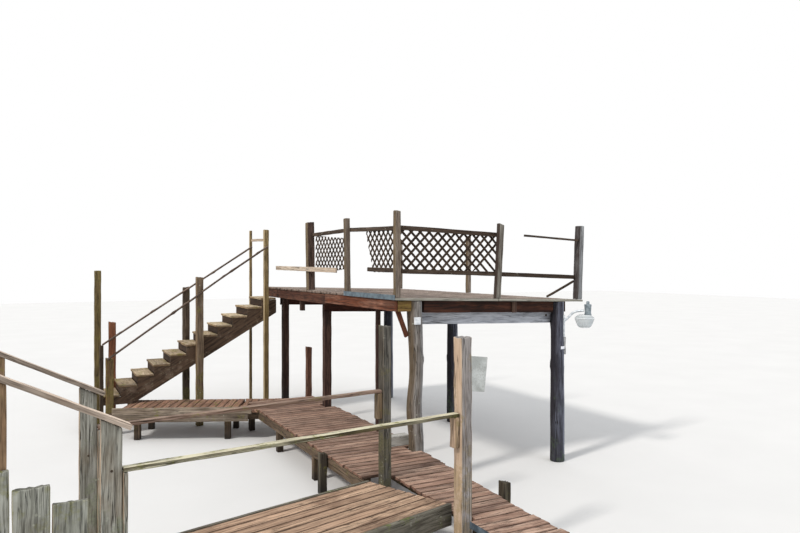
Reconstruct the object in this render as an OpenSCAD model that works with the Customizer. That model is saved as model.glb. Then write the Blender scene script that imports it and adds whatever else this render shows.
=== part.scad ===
// Timber jetty: a raised viewing deck on piles over the water, a stair down to a
// low boardwalk along the bank, and a railed approach that climbs the bank.
// Origin: middle of the foot of the round corner pile. X runs out over the water,
// Y along the bank, Z up. The lowest ground, where every foot stands, is Z = 0.

/* [Upper deck] */
// Length of the deck, from its bank edge out over the water
deck_len = 3610; // [3400:10:3800]
// Width of the deck along the bank
deck_width = 6550; // [6350:10:6800]
// Height of the deck's top at its bank edge
deck_top = 2800; // [2700:10:2900]
// Fall of the deck from the bank edge to the water edge
deck_fall = 105; // [60:5:130]
// Thickness of the deck boards
deck_board_t = 34; // [25:1:40]
// Width of one deck board
deck_board_w = 140; // [120:1:160]
// Gap between boards, on the deck and the boardwalk
board_gap = 7; // [4:1:12]
// How far the deck reaches past the corner pile over the water
pile_overhang = 480; // [400:10:600]
// How far the deck reaches past the corner pile along the bank
front_overhang = 100; // [80:5:160]

/* [Deck frame] */
// Depth of the rim joists and the joists
joist_deep = 180; // [160:5:200]
// Thickness of sawn framing timber
joist_t = 38; // [32:1:45]
// Distance between joists, middle to middle
joist_step = 600; // [500:10:700]
// Depth of the red fascia on the bank side
fascia_deep = 165; // [140:5:190]
// Depth of the grey cross boards that carry the joists
cross_deep = 185; // [160:5:200]
// Diameter of the round piles
pile_d = 245; // [220:5:260]
// How much a pile's radius shrinks on its way up
pile_taper = 15; // [5:1:25]
// Diameter of the crooked log under the inner corner
log_d = 220; // [190:5:240]
// Side of the squared timber posts under the deck
prop_side = 140; // [120:5:150]
// Distance of the inner row of posts from the deck's bank edge
inner_row = 387; // [370:1:420]

/* [Guard rail] */
// Side of the guard posts
guard_side = 89; // [75:1:100]
// Height of the corner guard post above the deck
guard_post_h = 1280; // [1150:10:1350]
// Height of the top rail above the deck
top_rail_h = 1000; // [950:10:1050]
// Height of the lower rail above the deck
low_rail_h = 390; // [330:10:430]
// Depth of the guard rails
rail_deep = 70; // [50:1:90]
// Thickness of the guard rails
rail_t = 38; // [25:1:40]
// Distance between guard posts along the bank
guard_bay = 1830; // [1780:5:1850]
// Distance from the corner to the middle post over the near side
near_bay = 1790; // [1700:10:1850]
// Side of the heavier guard posts
heavy_side = 140; // [120:5:140]
// Width of a lattice lath
lath_w = 38; // [25:1:45]
// Thickness of a lattice lath
lath_t = 8; // [6:1:10]
// Distance between lattice laths, middle to middle
lath_pitch = 110; // [100:5:140]

/* [Stair] */
// Number of rises from the boardwalk to the deck
rises = 12; // [11:1:13]
// How much taller the last rise is than the others
last_rise_more = 35; // [0:5:40]
// Going of each step
going = 315; // [290:5:320]
// Clear width of the stair, over its stringers
stair_width = 950; // [900:10:1000]
// Thickness of the treads
tread_t = 45; // [35:1:60]
// Thickness of the stair's stringers
stringer_t = 45; // [35:1:50]
// Depth of wood left in a stringer under its notches
stringer_waist = 120; // [100:5:150]
// Side of the stair's tall posts
newel_side = 140; // [120:5:150]
// Diameter of the stair's pole handrails
pole_d = 42; // [35:1:50]

/* [Boardwalk] */
// Height of the boardwalk's top
walk_top = 560; // [500:10:620]
// Width of the boardwalk at its near end, before it widens over the water
walk_width = 1120; // [1080:10:1160]
// How much the boardwalk widens over the water beside the deck
walk_flare = 320; // [260:10:340]
// Length of the boardwalk along the bank
walk_len = 9000; // [8400:10:9400]
// How much narrower the boardwalk is beside the landing
walk_narrow = 380; // [340:10:400]
// Thickness of the boardwalk boards
walk_board_t = 40; // [32:1:45]
// Width of one boardwalk board
walk_board_w = 140; // [120:1:150]
// Length of the boardwalk's arm to the stair's foot
arm_len = 2780; // [2600:10:2820]
// Turn of the arm from the line of the bank
arm_turn = 155; // [153:1:157]
// Depth of the bearers under the boardwalk
bearer_deep = 140; // [120:5:160]
// Side of the short posts that stand under the boardwalk
stub_side = 110; // [90:5:130]

/* [Approach] */
// Distance from the deck's corner back to the approach, along the deck's length
approach_back = 650; // [640:5:660]
// Distance from the deck's corner to the approach's middle, along the bank
approach_side = 1835; // [1820:5:1850]
// Clear distance between the middles of the two tall posts
approach_width = 1630; // [1550:10:1700]
// Side of the two tall posts
tall_side = 145; // [130:5:150]
// Height of the tall posts above the boardwalk
tall_h = 1950; // [1800:10:2000]
// Length of the two level rails
level_len = 3420; // [3200:10:3500]
// Height of the level rails above the boardwalk
level_h = 1110; // [1000:10:1150]
// How much the level rails rise towards the tall posts
level_lift = 25; // [0:5:40]
// Turn of the approach from the deck's length
approach_turn = 5.8; // [4:0.2:7]
// Length of the railed landing
landing_len = 2600; // [2400:10:2800]
// Width of the landing
landing_width = 1180; // [1100:10:1220]
// Height of the landing above the boardwalk
landing_rise = 80; // [60:5:110]
// Turn of the landing from the line of the approach
landing_turn = 9; // [7:0.5:11]
// Slant of the landing's end, where it meets the boardwalk
landing_skew = 7; // [4:0.5:9]
// Height of the handrail's top above the boardwalk at its lower post
slope_rail_h = 1480; // [1350:10:1520]
// Rise of the sloping handrails, in degrees
slope_angle = 27.5; // [24:0.5:31]
// Distance between the posts of the sloping handrails
slope_bay = 760; // [720:10:850]

/* [Lamp] */
// Height of the lamp's arm on the pile
lamp_z = 2405; // [2250:5:2430]
// Reach of the lamp's arm
lamp_reach = 328; // [300:2:360]
// Diameter of the lamp's hood
lamp_hood_d = 120; // [110:5:130]
// Diameter of the lamp's ribbed bowl
lamp_bowl_d = 320; // [290:5:330]

/* [Hidden] */
$fn = 32;
eps = 0.5;

// Deck edges, with the corner pile at the origin
deck_x1 = pile_overhang;
deck_x0 = deck_x1 - deck_len;
deck_y0 = -front_overhang;
deck_y1 = deck_y0 + deck_width;
function deck_z(x) = deck_top - deck_fall * (x - deck_x0) / deck_len;
function under_boards(x) = deck_z(x) - deck_board_t - eps;
function under_joists(x) = under_boards(x) - joist_deep - eps;

// The guard's corner post, from which the guard and the bank pieces are set out
guard_x = deck_x0 + 60;
guard_y = deck_y0 + 50;
near_end_x = deck_x1 - 60;
inner_x = deck_x0 + inner_row;
outer_y2 = guard_y + 3330;
near_mid_x = guard_x + near_bay;
guard_ys = [for (i = [0:2]) guard_y + i * guard_bay];
far_y = deck_y1 - 200;

// Boardwalk edges
walk_x1 = guard_x + 140;
walk_x0 = walk_x1 - walk_width;
walk_y1 = guard_y + 4600;
walk_y0 = walk_y1 - walk_len;
arm_start = [walk_x0, guard_y + 3720];

// Stair
rise = (deck_top - last_rise_more - walk_top) / rises;
stair_y0 = guard_y + 3 * guard_bay + guard_side / 2 + eps;
stair_y1 = stair_y0 + stair_width;
stair_foot_x = deck_x0 - (rises - 1) * going;

// Approach: middle between the tall posts
approach_at = [guard_x - approach_back, guard_y - approach_side];

// A straight timber whose middle line runs from a to b
module timber(a, b, wide, deep) {
    way = b - a;
    long = norm(way);
    translate(a)
        rotate([0, -asin(way[2] / long), atan2(way[1], way[0])])
            translate([0, -wide / 2, -deep / 2])
                cube([long, wide, deep]);
}

// A square post between two heights, its top cut at a slant
module post(x, y, z0, z1, side, slant = 0) {
    difference() {
        translate([x - side / 2, y - side / 2, z0])
            cube([side, side, z1 - z0]);
        if (slant != 0)
            translate([x, y, z1 - abs(tan(slant)) * side / 2 - eps])
                rotate([0, slant, 0])
                    translate([-side, -side, 0])
                        cube([2 * side, 2 * side, side]);
    }
}

// A round pole between two points
module pole(a, b, d) {
    way = b - a;
    translate(a)
        rotate([0, acos(way[2] / norm(way)), atan2(way[1], way[0])])
            cylinder(h = norm(way), d = d, $fn = 16);
}

// A small shift that repeats for each copy, for ragged ends
function ragged(i, most) = most * (0.5 + 0.5 * sin(i * 137 + 40 * sin(i * 71)));

// Everything below that belongs to the approach is drawn in its own turned frame:
// X along the rails with the tall posts at 0, Y from the near to the far rail
module on_approach() {
    translate([approach_at[0], approach_at[1], 0])
        rotate([0, 0, approach_turn])
            children();
}

// Deck: supports

pile_h = under_boards(pile_d / 2);
function pile_r(z) = pile_d / 2 - pile_taper * z / pile_h;
cross_z = under_joists(0) - cross_deep - 2 * eps;
cross_front = pile_r(cross_z) + eps;
module pile(y) {
    translate([0, y, 0])
        cylinder(h = pile_h, r1 = pile_r(0), r2 = pile_r(pile_h));
}
module corner_pile() color("#4a3f45")
    pile(0);
module far_piles() color("#4a3f45")
    for (y = [outer_y2, far_y])
        pile(y);

// The log bends a little one way and then the other on its way up: shift, height, girth
log_bends = [[0, 0, 1], [25, 600, 0.98], [-15, 1150, 1.05], [30, 1700, 0.93], [10, 2250, 0.9]];
log_last = len(log_bends) - 1;
log_y = cross_front - log_d / 2 * log_bends[3][2] - eps;
log_top_x = inner_x + log_bends[log_last][0];
log_top_r = log_d / 2 * log_bends[log_last][2];
module log_ring(i, z) {
    translate([log_bends[i][0], 0, z])
        cylinder(h = 1, d = log_d * log_bends[i][2], $fn = 16);
}
module corner_log() color("#7b6a58")
    translate([inner_x, log_y, 0])
        for (i = [0:log_last - 1])
            hull() {
                log_ring(i, max(0, log_bends[i][1] - 1));
                log_ring(i + 1, i + 1 == log_last
                    ? under_boards(log_top_x + log_top_r) - 1 : log_bends[i + 1][1] - 1);
            }

// Each row: its pile, the cross board on the pile's face, and the inner post behind the board
slim_y = guard_y + 1296;
slim_side = prop_side / 2;
middle_prop_y = outer_y2 + cross_front + joist_t + eps + prop_side / 2;
far_prop_y = far_y - cross_front - joist_t - eps - prop_side / 2;
module bank_props() color("#4d3229") {
    post(inner_x, slim_y, 0, under_joists(inner_x + slim_side / 2) - eps, slim_side);
    for (y = [middle_prop_y, far_prop_y])
        post(inner_x, y, 0, under_joists(inner_x + prop_side / 2) - eps, prop_side);
}
cross_past = 90;
module cross_board(x0, y) {
    back = y + joist_t / 2;
    timber([x0, back, under_joists(x0) - cross_deep / 2 - eps],
        [cross_past, back, under_joists(cross_past) - cross_deep / 2 - eps],
        joist_t, cross_deep);
}
module grey_cross_board() color("#a9a6a0")
    cross_board(inner_x - 20, cross_front);
module red_cross_boards() color("#66302a") {
    cross_board(inner_x - cross_past, outer_y2 + cross_front);
    cross_board(inner_x - cross_past, far_y - cross_front - joist_t);
}

// Deck: frame

module rim(x0, x1, y) {
    timber([x0, y + joist_t / 2, under_boards(x0) - joist_deep / 2],
        [x1, y + joist_t / 2, under_boards(x1) - joist_deep / 2], joist_t, joist_deep);
}
rim_inset = 25;
near_rim_y = deck_y0 + rim_inset;
near_rim_x0 = log_top_x + log_top_r + 6;
far_rim_y = deck_y1 - rim_inset - joist_t;
front_rim_x1 = guard_x + 1270;
module rim_joists() color("#5b2a1f") {
    rim(near_rim_x0, front_rim_x1, near_rim_y);
    rim(near_rim_x0, -pile_r(pile_h) - 8, near_rim_y + joist_t + eps);
    rim(guard_x + 20, near_end_x + 30, far_rim_y);
}

// The fascia under the bank edge: a red board, then a darker one set back and hung lower
fascia_x = deck_x0 + 22;
fascia_set_back = 12;
fascia_top = under_boards(fascia_x + fascia_set_back + joist_t);
fascia_split = guard_y + 2750;
module bank_fascia() color("#7a3d2a") {
    translate([fascia_x, near_rim_y, fascia_top - fascia_deep])
        cube([joist_t, fascia_split - near_rim_y - eps, fascia_deep]);
    translate([fascia_x + fascia_set_back, fascia_split, fascia_top - fascia_deep - 20])
        cube([joist_t, deck_y1 - rim_inset - fascia_split, fascia_deep + 20]);
}

joist_y0 = cross_front;
joist_count = floor((deck_x1 - 150 - inner_x) / joist_step);
module joists() color("#66382b")
    for (i = [0:joist_count]) {
        x = inner_x + i * joist_step;
        translate([x - joist_t / 2, joist_y0, under_joists(x + joist_t / 2) + 2 * eps])
            cube([joist_t, far_rim_y - eps - joist_y0, joist_deep]);
    }

// Deck: boards run out over the water, with weathered uneven ends
deck_pitch = deck_board_w + board_gap;
deck_count = floor((deck_width + board_gap) / deck_pitch);
deck_strip_len = guard_bay + 50;
module deck_board(x0, x1, y) {
    timber([x0, y, deck_z(x0) - deck_board_t / 2],
        [x1, y, deck_z(x1) - deck_board_t / 2], deck_board_w, deck_board_t);
}
module deck_boards() color("#7d6a60") {
    for (i = [1:deck_count - 1]) {
        y = deck_y0 + (i + 0.5) * deck_width / deck_count;
        by_strip = y < deck_y0 + deck_strip_len + deck_board_w / 2;
        deck_board(deck_x0 + (by_strip ? eps : ragged(i, 18)), deck_x1 - ragged(i + 50, 30), y);
    }
    // The outermost board is in two lengths, the bleached one a little further out
    edge_y = deck_y0 + deck_board_w / 2;
    deck_board(deck_x0 + eps, near_mid_x - board_gap, edge_y - 12);
    deck_board(near_mid_x, deck_x1, edge_y);
}

strip_t = 4;
strip_h = 75;
strip_lip = 45;
module edge_strips() color("#6f8290") {
    translate([deck_x0 - strip_t, deck_y0, deck_top + strip_lip - strip_h])
        cube([strip_t, deck_strip_len, strip_h]);
    translate([walk_x0 + walk_narrow - strip_t, walk_y0, walk_top + 7 - strip_h])
        cube([strip_t, tall_near[1] - tall_side - walk_y0, strip_h]);
}

// A corner block beside the log, a packing block on the near rim, a stub under the fascia
module deck_blocks() color("#7c6a45") {
    corner_x0 = fascia_x + joist_t + eps;
    corner_x1 = log_top_x - log_top_r - 6;
    corner_z = fascia_top - fascia_deep;
    translate([corner_x0, near_rim_y, corner_z])
        cube([corner_x1 - corner_x0, guard_side, under_boards(corner_x1) - corner_z]);
    translate([guard_x + 2080, near_rim_y, under_joists(guard_x + 2080) - 5])
        cube([guard_side, joist_t, joist_deep]);
    translate([fascia_x + fascia_set_back + joist_t + eps, guard_y + 4150,
            fascia_top - fascia_deep - 225])
        cube([guard_side, guard_side, fascia_deep + 220]);
}

// A knee brace from the back of the corner block down to the side of the log
brace_t = 45;
brace_deep = 70;
module knee_brace() color("#7d3a2c") {
    y = near_rim_y + guard_side + eps + brace_t / 2;
    z = fascia_top - fascia_deep;
    timber([fascia_x + joist_t + 40, y, z + 40], [inner_x - log_d / 2 - 6, y, z - 385],
        brace_t, brace_deep);
}

// Guard round the deck

// The bank's second and third posts lean along the bank, the near side's over the water
bank_lean = 2;
heavy_lean = 2.2;
heavy_y = guard_ys[2] - 15;
near_post_lean = 3.5;
end_post_lean = 2.4;
module bank_post(y, side, h, lean, slant) {
    translate([guard_x + (side - guard_side) / 2, y, deck_z(guard_x) + 6])
        rotate([-lean, 0, 0])
            post(0, 0, 0, h, side, slant);
}
module bank_guard_posts() color("#6f6357") {
    bank_post(guard_ys[0], guard_side, guard_post_h, 0, 6);
    bank_post(guard_ys[1] - 30, guard_side, guard_post_h, bank_lean, -4);
    bank_post(heavy_y, heavy_side, guard_post_h + 40, heavy_lean, -4);
}
module near_guard_posts() color("#6b5348") {
    translate([near_mid_x, guard_y, deck_z(near_mid_x) + 4])
        rotate([0, near_post_lean, 0])
            post(0, 0, 0, guard_post_h - 80, guard_side, 18);
    translate([near_end_x, guard_y - guard_side / 2, deck_z(near_end_x) + 3])
        rotate([0, end_post_lean, 0])
            translate([-guard_side / 2, 0, 0])
                cube([guard_side, heavy_side, guard_post_h - 25]);
}
module water_guard_posts() color("#8b857c")
    for (y = [outer_y2, deck_y1 - 85])
        post(near_end_x - 20, y, deck_z(near_end_x) + 3,
            deck_z(near_end_x) + guard_post_h - 60, guard_side, -6);

bank_rail_x = guard_x + guard_side / 2 + rail_t / 2 + eps;
near_rail_y = guard_y + guard_side / 2 + rail_t / 2 + eps;
near_rail_x0 = bank_rail_x + rail_t / 2 + 4;
// Where the rails meet the leaning posts, for a rail's lowest point above the deck
function heavy_inner_y(up) = heavy_y - heavy_side / 2 + (up - 5) * tan(heavy_lean) - 1;
function end_inner_x(z) = near_end_x - guard_side / 2 - 4
    + (z - deck_z(near_end_x)) * tan(end_post_lean);
rail_lift = 25;
rail_rise = 85;
rail_split = 5;
near_drop = 60;
module rail(a, b, deep = rail_deep) {
    timber(a, b, rail_t, deep);
}
module top_rails() color("#54473c") {
    z0 = deck_top + top_rail_h;
    z1 = z0 + rail_rise;
    rail([near_rail_x0, near_rail_y, z0 + rail_lift + 10],
        [near_mid_x + 60, near_rail_y, z0 + rail_lift - near_drop]);
    rail([near_mid_x + 540, guard_y, z0 - 37],
        [end_inner_x(z0 - 97 - rail_deep / 4), guard_y, z0 - 97], rail_deep / 2);
    rail([bank_rail_x, guard_y - 40, z0 + rail_lift], [bank_rail_x, guard_ys[1], z1]);
    rail([bank_rail_x, guard_ys[1] + rail_split, z1],
        [bank_rail_x, heavy_inner_y(z1 - 15 - rail_deep / 2 - deck_top), z1 - 15]);
}
module lower_rails() color("#54473c") {
    z0 = deck_top + low_rail_h;
    z1 = z0 - near_drop + 10;
    rail([near_rail_x0, near_rail_y, z0], [near_mid_x + 60, near_rail_y, z1]);
    rail([near_mid_x + 60 + rail_split, near_rail_y, z1 - 2],
        [end_inner_x(z1 - near_drop - rail_deep / 2), near_rail_y, z1 - near_drop]);
    rail([bank_rail_x, guard_y - 40, z0 + 10], [bank_rail_x, guard_ys[1] - 700, z0 + 25]);
}
// A bleached rail nailed to the outside of the third post, another across the stair's head
pale_rail_x = guard_x - guard_side / 2 - rail_t / 2 - eps;
module pale_rail() color("#b5a894") {
    rail([pale_rail_x, guard_ys[1] + 310, deck_top + low_rail_h + 4],
        [pale_rail_x, newel_near - 10, deck_top + low_rail_h + 40], guard_side);
    rail([top_near[0] - 20, newel_near + 2, deck_top + 1030],
        [top_far[0] + 20, newel_far - 2, deck_top + 1055], rail_deep - 10);
}

// A lattice panel on its frame's face: laths both ways, each layer kept inside its outline
lattice_lift = 52;
module lattice(w, h, falling, rising) {
    reach = w + h;
    count = ceil(reach / lath_pitch / 2) + 1;
    module laths(turn, outline)
        intersection() {
            for (i = [-count:count])
                translate([w / 2, h / 2 + lattice_lift])
                    rotate(turn)
                        translate([i * lath_pitch - lath_w / 2, -reach])
                            square([lath_w, 2 * reach]);
            polygon(outline);
        }
    linear_extrude(2 * lath_t) {
        laths(45, falling);
        laths(-45, rising);
    }
}

panel_h = top_rail_h - low_rail_h + rail_deep;
panel_z = deck_top + low_rail_h - rail_deep / 2;
// Towards its end the near panel has lost the lower parts of its rising laths
module near_lattice() color("#3f2f26") {
    w = near_bay + 10;
    translate([near_rail_x0, near_rail_y + rail_t / 2 + 2 * lath_t + eps, panel_z])
        rotate([90, 0, 0])
            lattice(w, panel_h,
                [[0, 0], [w, -near_drop], [w, panel_h - near_drop], [0, panel_h]],
                [[0, 0], [0.68 * w, -0.68 * near_drop], [0.97 * w, 0.45 * panel_h],
                    [w, panel_h - near_drop], [0, panel_h]]);
}
// The bank's panels are broken: one torn away on its far side, one sagging from its rail
module bank_panel(y, outline) {
    shape = [for (p = outline) [p[0] * guard_bay, p[1] * panel_h]];
    translate([bank_rail_x + rail_t / 2 + eps + 2 * lath_t, y, panel_z])
        rotate([90, 0, -90])
            mirror([1, 0, 0])
                lattice(guard_bay, panel_h, shape, shape);
}
bank_panel_y = near_rail_y + rail_t / 2 + 2 * lath_t + 2 * eps;
module bank_lattice() color("#3f2f26") {
    bank_panel(bank_panel_y, [[0.07, 0], [0.5, 0], [0.53, 0.35], [0.58, 0.6], [0.64, 1.05],
        [0, 1.03], [0, 0.9], [0.05, 0.6]]);
    bank_panel(guard_ys[1] + 60, [[0.04, 0.1], [0.35, 0.04], [0.65, 0.12], [0.9, 0.1],
        [0.9, 1.05], [0.6, 0.97], [0.04, 0.87]]);
}

// A rail of the water side that has dropped from the end post onto the deck
module guard_brace() color("#4a3c33")
    timber([near_end_x - 12, guard_y + heavy_side - guard_side / 2 + 7,
            deck_top + low_rail_h - 180],
        [near_end_x - 12, guard_y + 800, deck_z(near_end_x) + rail_t / 2], rail_t, rail_t);

// Stair

stair_slope = atan(rise / going);
// Outline of a stringer: notches for the treads above, one long cut below
function stringer_notches() = [
    for (k = [0:rises - 2], corner = [0, 1])
        [k * going + corner * going, (k + 1) * rise - tread_t]];
module stringer() {
    waist = stringer_waist / cos(stair_slope);
    top_x = (rises - 1) * going;
    top_z = (rises - 1) * rise - tread_t;
    polygon(concat([[0, 0]], stringer_notches(),
        [[top_x, top_z - waist - rise + tread_t],
            [going * (1 + waist / rise), 0]]));
}
module stair_stringers() color("#5a4334")
    for (y = [stair_y0, stair_y1 - stringer_t])
        translate([stair_foot_x, y + stringer_t, walk_top + eps])
            rotate([90, 0, 0])
                linear_extrude(stringer_t)
                    stringer();

tread_past = 20;
module stair_treads() color("#7d6b4f")
    for (k = [1:rises - 1])
        translate([stair_foot_x + (k - 1) * going - 25,
                stair_y0 - tread_past + ragged(k, 12), walk_top + k * rise - tread_t + 2 * eps])
            cube([going + 20, stair_width + tread_past + 8, tread_t]);

riser_t = 25;
module stair_risers() color("#33241c")
    for (k = [1:rises - 1])
        translate([stair_foot_x + (k - 1) * going + 2,
                stair_y0 + stringer_t + eps, walk_top + (k - 1) * rise + 3 * eps])
            cube([riser_t, stair_width - 2 * stringer_t - 2 * eps, rise - tread_t - 3 * eps]);

// Tall posts stand clear of the treads' ends on both sides of the stair
newel_near = stair_y0 - tread_past - 1;
newel_far = stair_y1 + tread_past + 1;
newel_y0 = newel_near - newel_side / 2;
newel_y1 = newel_far + newel_side / 2;
top_side = 100;
top_slim = 60;
module stair_foot_posts() color("#6d6a3e") {
    post(stair_foot_x + 107, newel_y0, 0, walk_top + 941, newel_side, 12);
    post(stair_foot_x - 32, newel_near - guard_side / 2, 0, walk_top + 1186, guard_side - 15, -5);
    post(stair_foot_x - 21, newel_y1, 0, walk_top + 2617, newel_side - 10, 0);
    post(stair_foot_x + 256, newel_y1, 0, walk_top + 1551, newel_side, 8);
}
mid_x = stair_foot_x + 1811;
module stair_mid_posts() color("#6b5342") {
    post(mid_x, newel_y0, 0, walk_top + 2495, newel_side, 8);
    post(mid_x - 57, newel_y1, 0, walk_top + 2261, newel_side, -8);
}
top_near = [deck_x0 - 248, newel_near - top_side / 2];
top_far = [deck_x0 - 284, newel_far + top_slim / 2];
module stair_top_posts() color("#8a8156") {
    post(top_near[0], top_near[1], 0, deck_top + 1255, top_side, 4);
    post(top_far[0], top_far[1], 0, deck_top + 1283, top_slim, -4);
}
// Peeled poles on the posts' near faces
pole_off = pole_d / 2 + 1;
module stair_handrails() color("#5f4d40") {
    y0 = newel_y0 - newel_side / 2 - pole_off;
    y1 = newel_far - pole_off;
    pole([stair_foot_x + 58, y0, walk_top + 907], [mid_x + 30, y0, walk_top + 2172], pole_d);
    pole([mid_x + 32, y0, walk_top + 2185],
        [top_near[0] + 20, top_near[1] - top_side / 2 - pole_off, deck_top + 896], pole_d);
    pole([stair_foot_x + 55, y1, walk_top + 1076], [top_far[0] + 20, y1, deck_top + 915], pole_d);
}

// Boardwalk: short boards across two bearers, on short posts. It widens towards the bank
// just past the far one of the approach's tall posts.

tall_y = approach_width / 2;
far_tall_side = tall_side - 20;
near_tall_shift = -28;
far_tall_shift = 17;
function tall_x(side) = side < 0 ? near_tall_shift : far_tall_shift;
function approach_point(x, y) = [
    approach_at[0] + x * cos(approach_turn) - y * sin(approach_turn),
    approach_at[1] + x * sin(approach_turn) + y * cos(approach_turn)];
tall_near = approach_point(near_tall_shift, -tall_y);
walk_break_y = approach_point(0, tall_y)[1] + (1.1 * far_tall_side + walk_board_w) / 2 + 4;
walk_pitch = walk_board_w + board_gap;
walk_count = floor((walk_len + board_gap) / walk_pitch);
flare_from = guard_y - 2750;
flare_len = 3750;
function walk_water_x(y) = walk_x1 + walk_flare * min(1, max(0, (y - flare_from) / flare_len));
function beside(y, at, side) = abs(y - at) < (side + walk_board_w) / 2 + 4;
// Boards stop short of the posts that rise through the boardwalk's edges
function walk_bank_end(y) = y >= walk_break_y ? walk_x0
    : beside(y, tall_near[1], tall_side * 1.1) ? tall_near[0] + tall_side * 0.56 + 4
    : walk_x0 + walk_narrow;
function walk_water_end(y) = beside(y, log_y, log_d) ? inner_x - log_d / 2 - 4
    : beside(y, slim_y, slim_side) ? inner_x - slim_side / 2 - 4
    : beside(y, middle_prop_y, prop_side) ? inner_x - prop_side / 2 - 4
    : walk_water_x(y);
module walk_boards() color("#7a5647")
    for (i = [0:walk_count - 1]) {
        y = walk_y0 + walk_board_w / 2 + i * walk_len / walk_count;
        by_strip = y < tall_near[1];
        x0 = walk_bank_end(y) + (by_strip ? eps : ragged(i, 24));
        x1 = walk_water_end(y) - ragged(i + 9, 26);
        translate([x0, y - walk_board_w / 2, walk_top - walk_board_t])
            cube([x1 - x0, walk_board_w, walk_board_t]);
    }

module on_arm() {
    translate([arm_start[0], arm_start[1], 0])
        rotate([0, 0, arm_turn])
            children();
}
arm_count = floor(arm_len / walk_pitch);
arm_extra = 5;
arm_width = 1150;
module arm_boards() color("#7a5647")
    difference() {
        on_arm()
            for (i = [-arm_extra:arm_count - 1])
                translate([i * walk_pitch, -arm_width, walk_top - walk_board_t])
                    cube([walk_board_w, arm_width, walk_board_t]);
        translate([walk_x0 - board_gap, walk_y0, 0])
            cube([3 * arm_width, walk_len + board_gap, 2 * walk_top]);
    }

walk_bay = (walk_len - stub_side) / 5;
bearer_z = walk_top - walk_board_t - eps - bearer_deep;
// The bearers' faces on the bank side: along the wide part, the narrow part, the water side
bearer_xs = [walk_x0 + 10, walk_x0 + walk_narrow + 180, walk_x1 - 40 - joist_t];
bearer_in = 60;
module walk_bearers() color("#5d4a3e") {
    translate([bearer_xs[0], walk_break_y, bearer_z])
        cube([joist_t, walk_y1 - walk_break_y, bearer_deep]);
    translate([bearer_xs[1], walk_y0, bearer_z])
        cube([joist_t, walk_break_y + 300 - walk_y0, bearer_deep]);
    translate([bearer_xs[2], walk_y0, bearer_z])
        cube([joist_t, walk_len, bearer_deep]);
    difference() {
        on_arm()
            for (y = [-bearer_in - joist_t, -arm_width + bearer_in])
                translate([-400, y, bearer_z])
                    cube([arm_len + 400, joist_t, bearer_deep]);
        translate([walk_x0 + 9, walk_y0, 0])
            cube([walk_width, walk_len + 40, 2 * walk_top]);
    }
}

edge_board_deep = 132;
module arm_edge_boards() color("#7b6650")
    on_arm()
        for (i = [0, 1])
            translate([130 + 60 * i, 1 + 12 * i, walk_top - 62 - (edge_board_deep + eps) * i])
                cube([arm_len - 220, joist_t, edge_board_deep]);

arm_post_xs = [600, arm_len - 500];
module walk_posts() color("#4d4138") {
    inside = joist_t + eps + stub_side / 2;
    top = walk_top - walk_board_t - 2 * eps;
    for (i = [0:5]) {
        y = walk_y0 + stub_side / 2 + i * walk_bay;
        for (x = [bearer_xs[y < walk_break_y ? 1 : 0] + inside, bearer_xs[2] + joist_t - inside])
            post(x, y, 0, top, stub_side);
    }
    on_arm()
        for (x = arm_post_xs, y = [-bearer_in - inside, -arm_width + bearer_in + inside])
            post(x, y, 0, top, stub_side);
}

// Stubs of old posts left standing outside the boardwalk's edges: place and height over it
stub_list = [[guard_x + 364, walk_y1 + stub_side / 2 + 5, 1030],
    [walk_x0 - stub_side / 2 - 4, guard_y + 319, 44],
    [walk_water_x(guard_y - 2275) + stub_side / 2 + 6, guard_y - 2275, 169]];
module walk_stubs() color("#5b4a3c")
    for (s = stub_list)
        post(s[0], s[1], 0, walk_top + s[2], stub_side, 9);

// A sleeper laid across the boardwalk where the deck begins
sleeper_long = 410;
sleeper_w = 170;
sleeper_h = 150;
module walk_sleeper() color("#9c978a")
    translate([guard_x - 60, log_y + log_d / 2 + 60, walk_top + eps])
        cube([sleeper_long, sleeper_w, sleeper_h]);

// Approach

module tall_posts() color("#70675a")
    on_approach() {
        post(near_tall_shift, -tall_y, 0, walk_top + tall_h, tall_side, -3);
        post(far_tall_shift, tall_y, 0, walk_top + tall_h, far_tall_side, 3);
    }

// A blank plate on the back of the near tall post, hanging askew
plate_turn = 7;
plate_w = 350;
plate_h = 388;
plate_t = 6;
plate_x = 195;
plate_z = walk_top + 1514;
module post_plate() color("#c9c6bb")
    on_approach()
        translate([plate_x, -tall_y + tall_side / 2 + eps, plate_z])
            rotate([0, plate_turn, 0])
                translate([-plate_w / 2, 0, -plate_h / 2])
                    cube([plate_w, plate_t, plate_h]);

landing_z = walk_top + landing_rise;
module on_landing() {
    on_approach()
        translate([-190, 0, 0])
            rotate([0, 0, landing_turn])
                children();
}
landing_pitch = walk_board_w + board_gap;
landing_count = floor(landing_width / landing_pitch);
landing_side_t = 48;
landing_side_deep = 240;
landing_sunk = landing_side_deep - 60;
landing_rows = [-landing_len + 120, -landing_len / 2, -320];
// The landing's end is cut on a slant: where it stands for a given distance across
function landing_end(y) = -y * tan(landing_skew);
module landing_deck() color("#8a7158")
    on_landing()
        for (i = [0:landing_count - 1]) {
            y = -landing_width / 2 + (i + 0.5) * landing_width / landing_count;
            x0 = -landing_len + ragged(i, 30);
            translate([x0, y - walk_board_w / 2, landing_z - walk_board_t + eps])
                cube([landing_end(y) - x0, walk_board_w, walk_board_t]);
        }
module landing_sides() color("#6d6355")
    on_landing() {
        for (side = [-1, 1]) {
            y = side > 0 ? landing_width / 2 + 1 : -landing_width / 2 - landing_side_t - 1;
            translate([-landing_len, y, landing_z + 6 - landing_side_deep])
                cube([landing_len + landing_end(side * landing_width / 2), landing_side_t,
                    landing_side_deep]);
        }
        for (x = landing_rows)
            translate([x, -landing_width / 2, landing_z - walk_board_t - landing_sunk])
                cube([joist_t, landing_width, landing_sunk]);
    }
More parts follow.
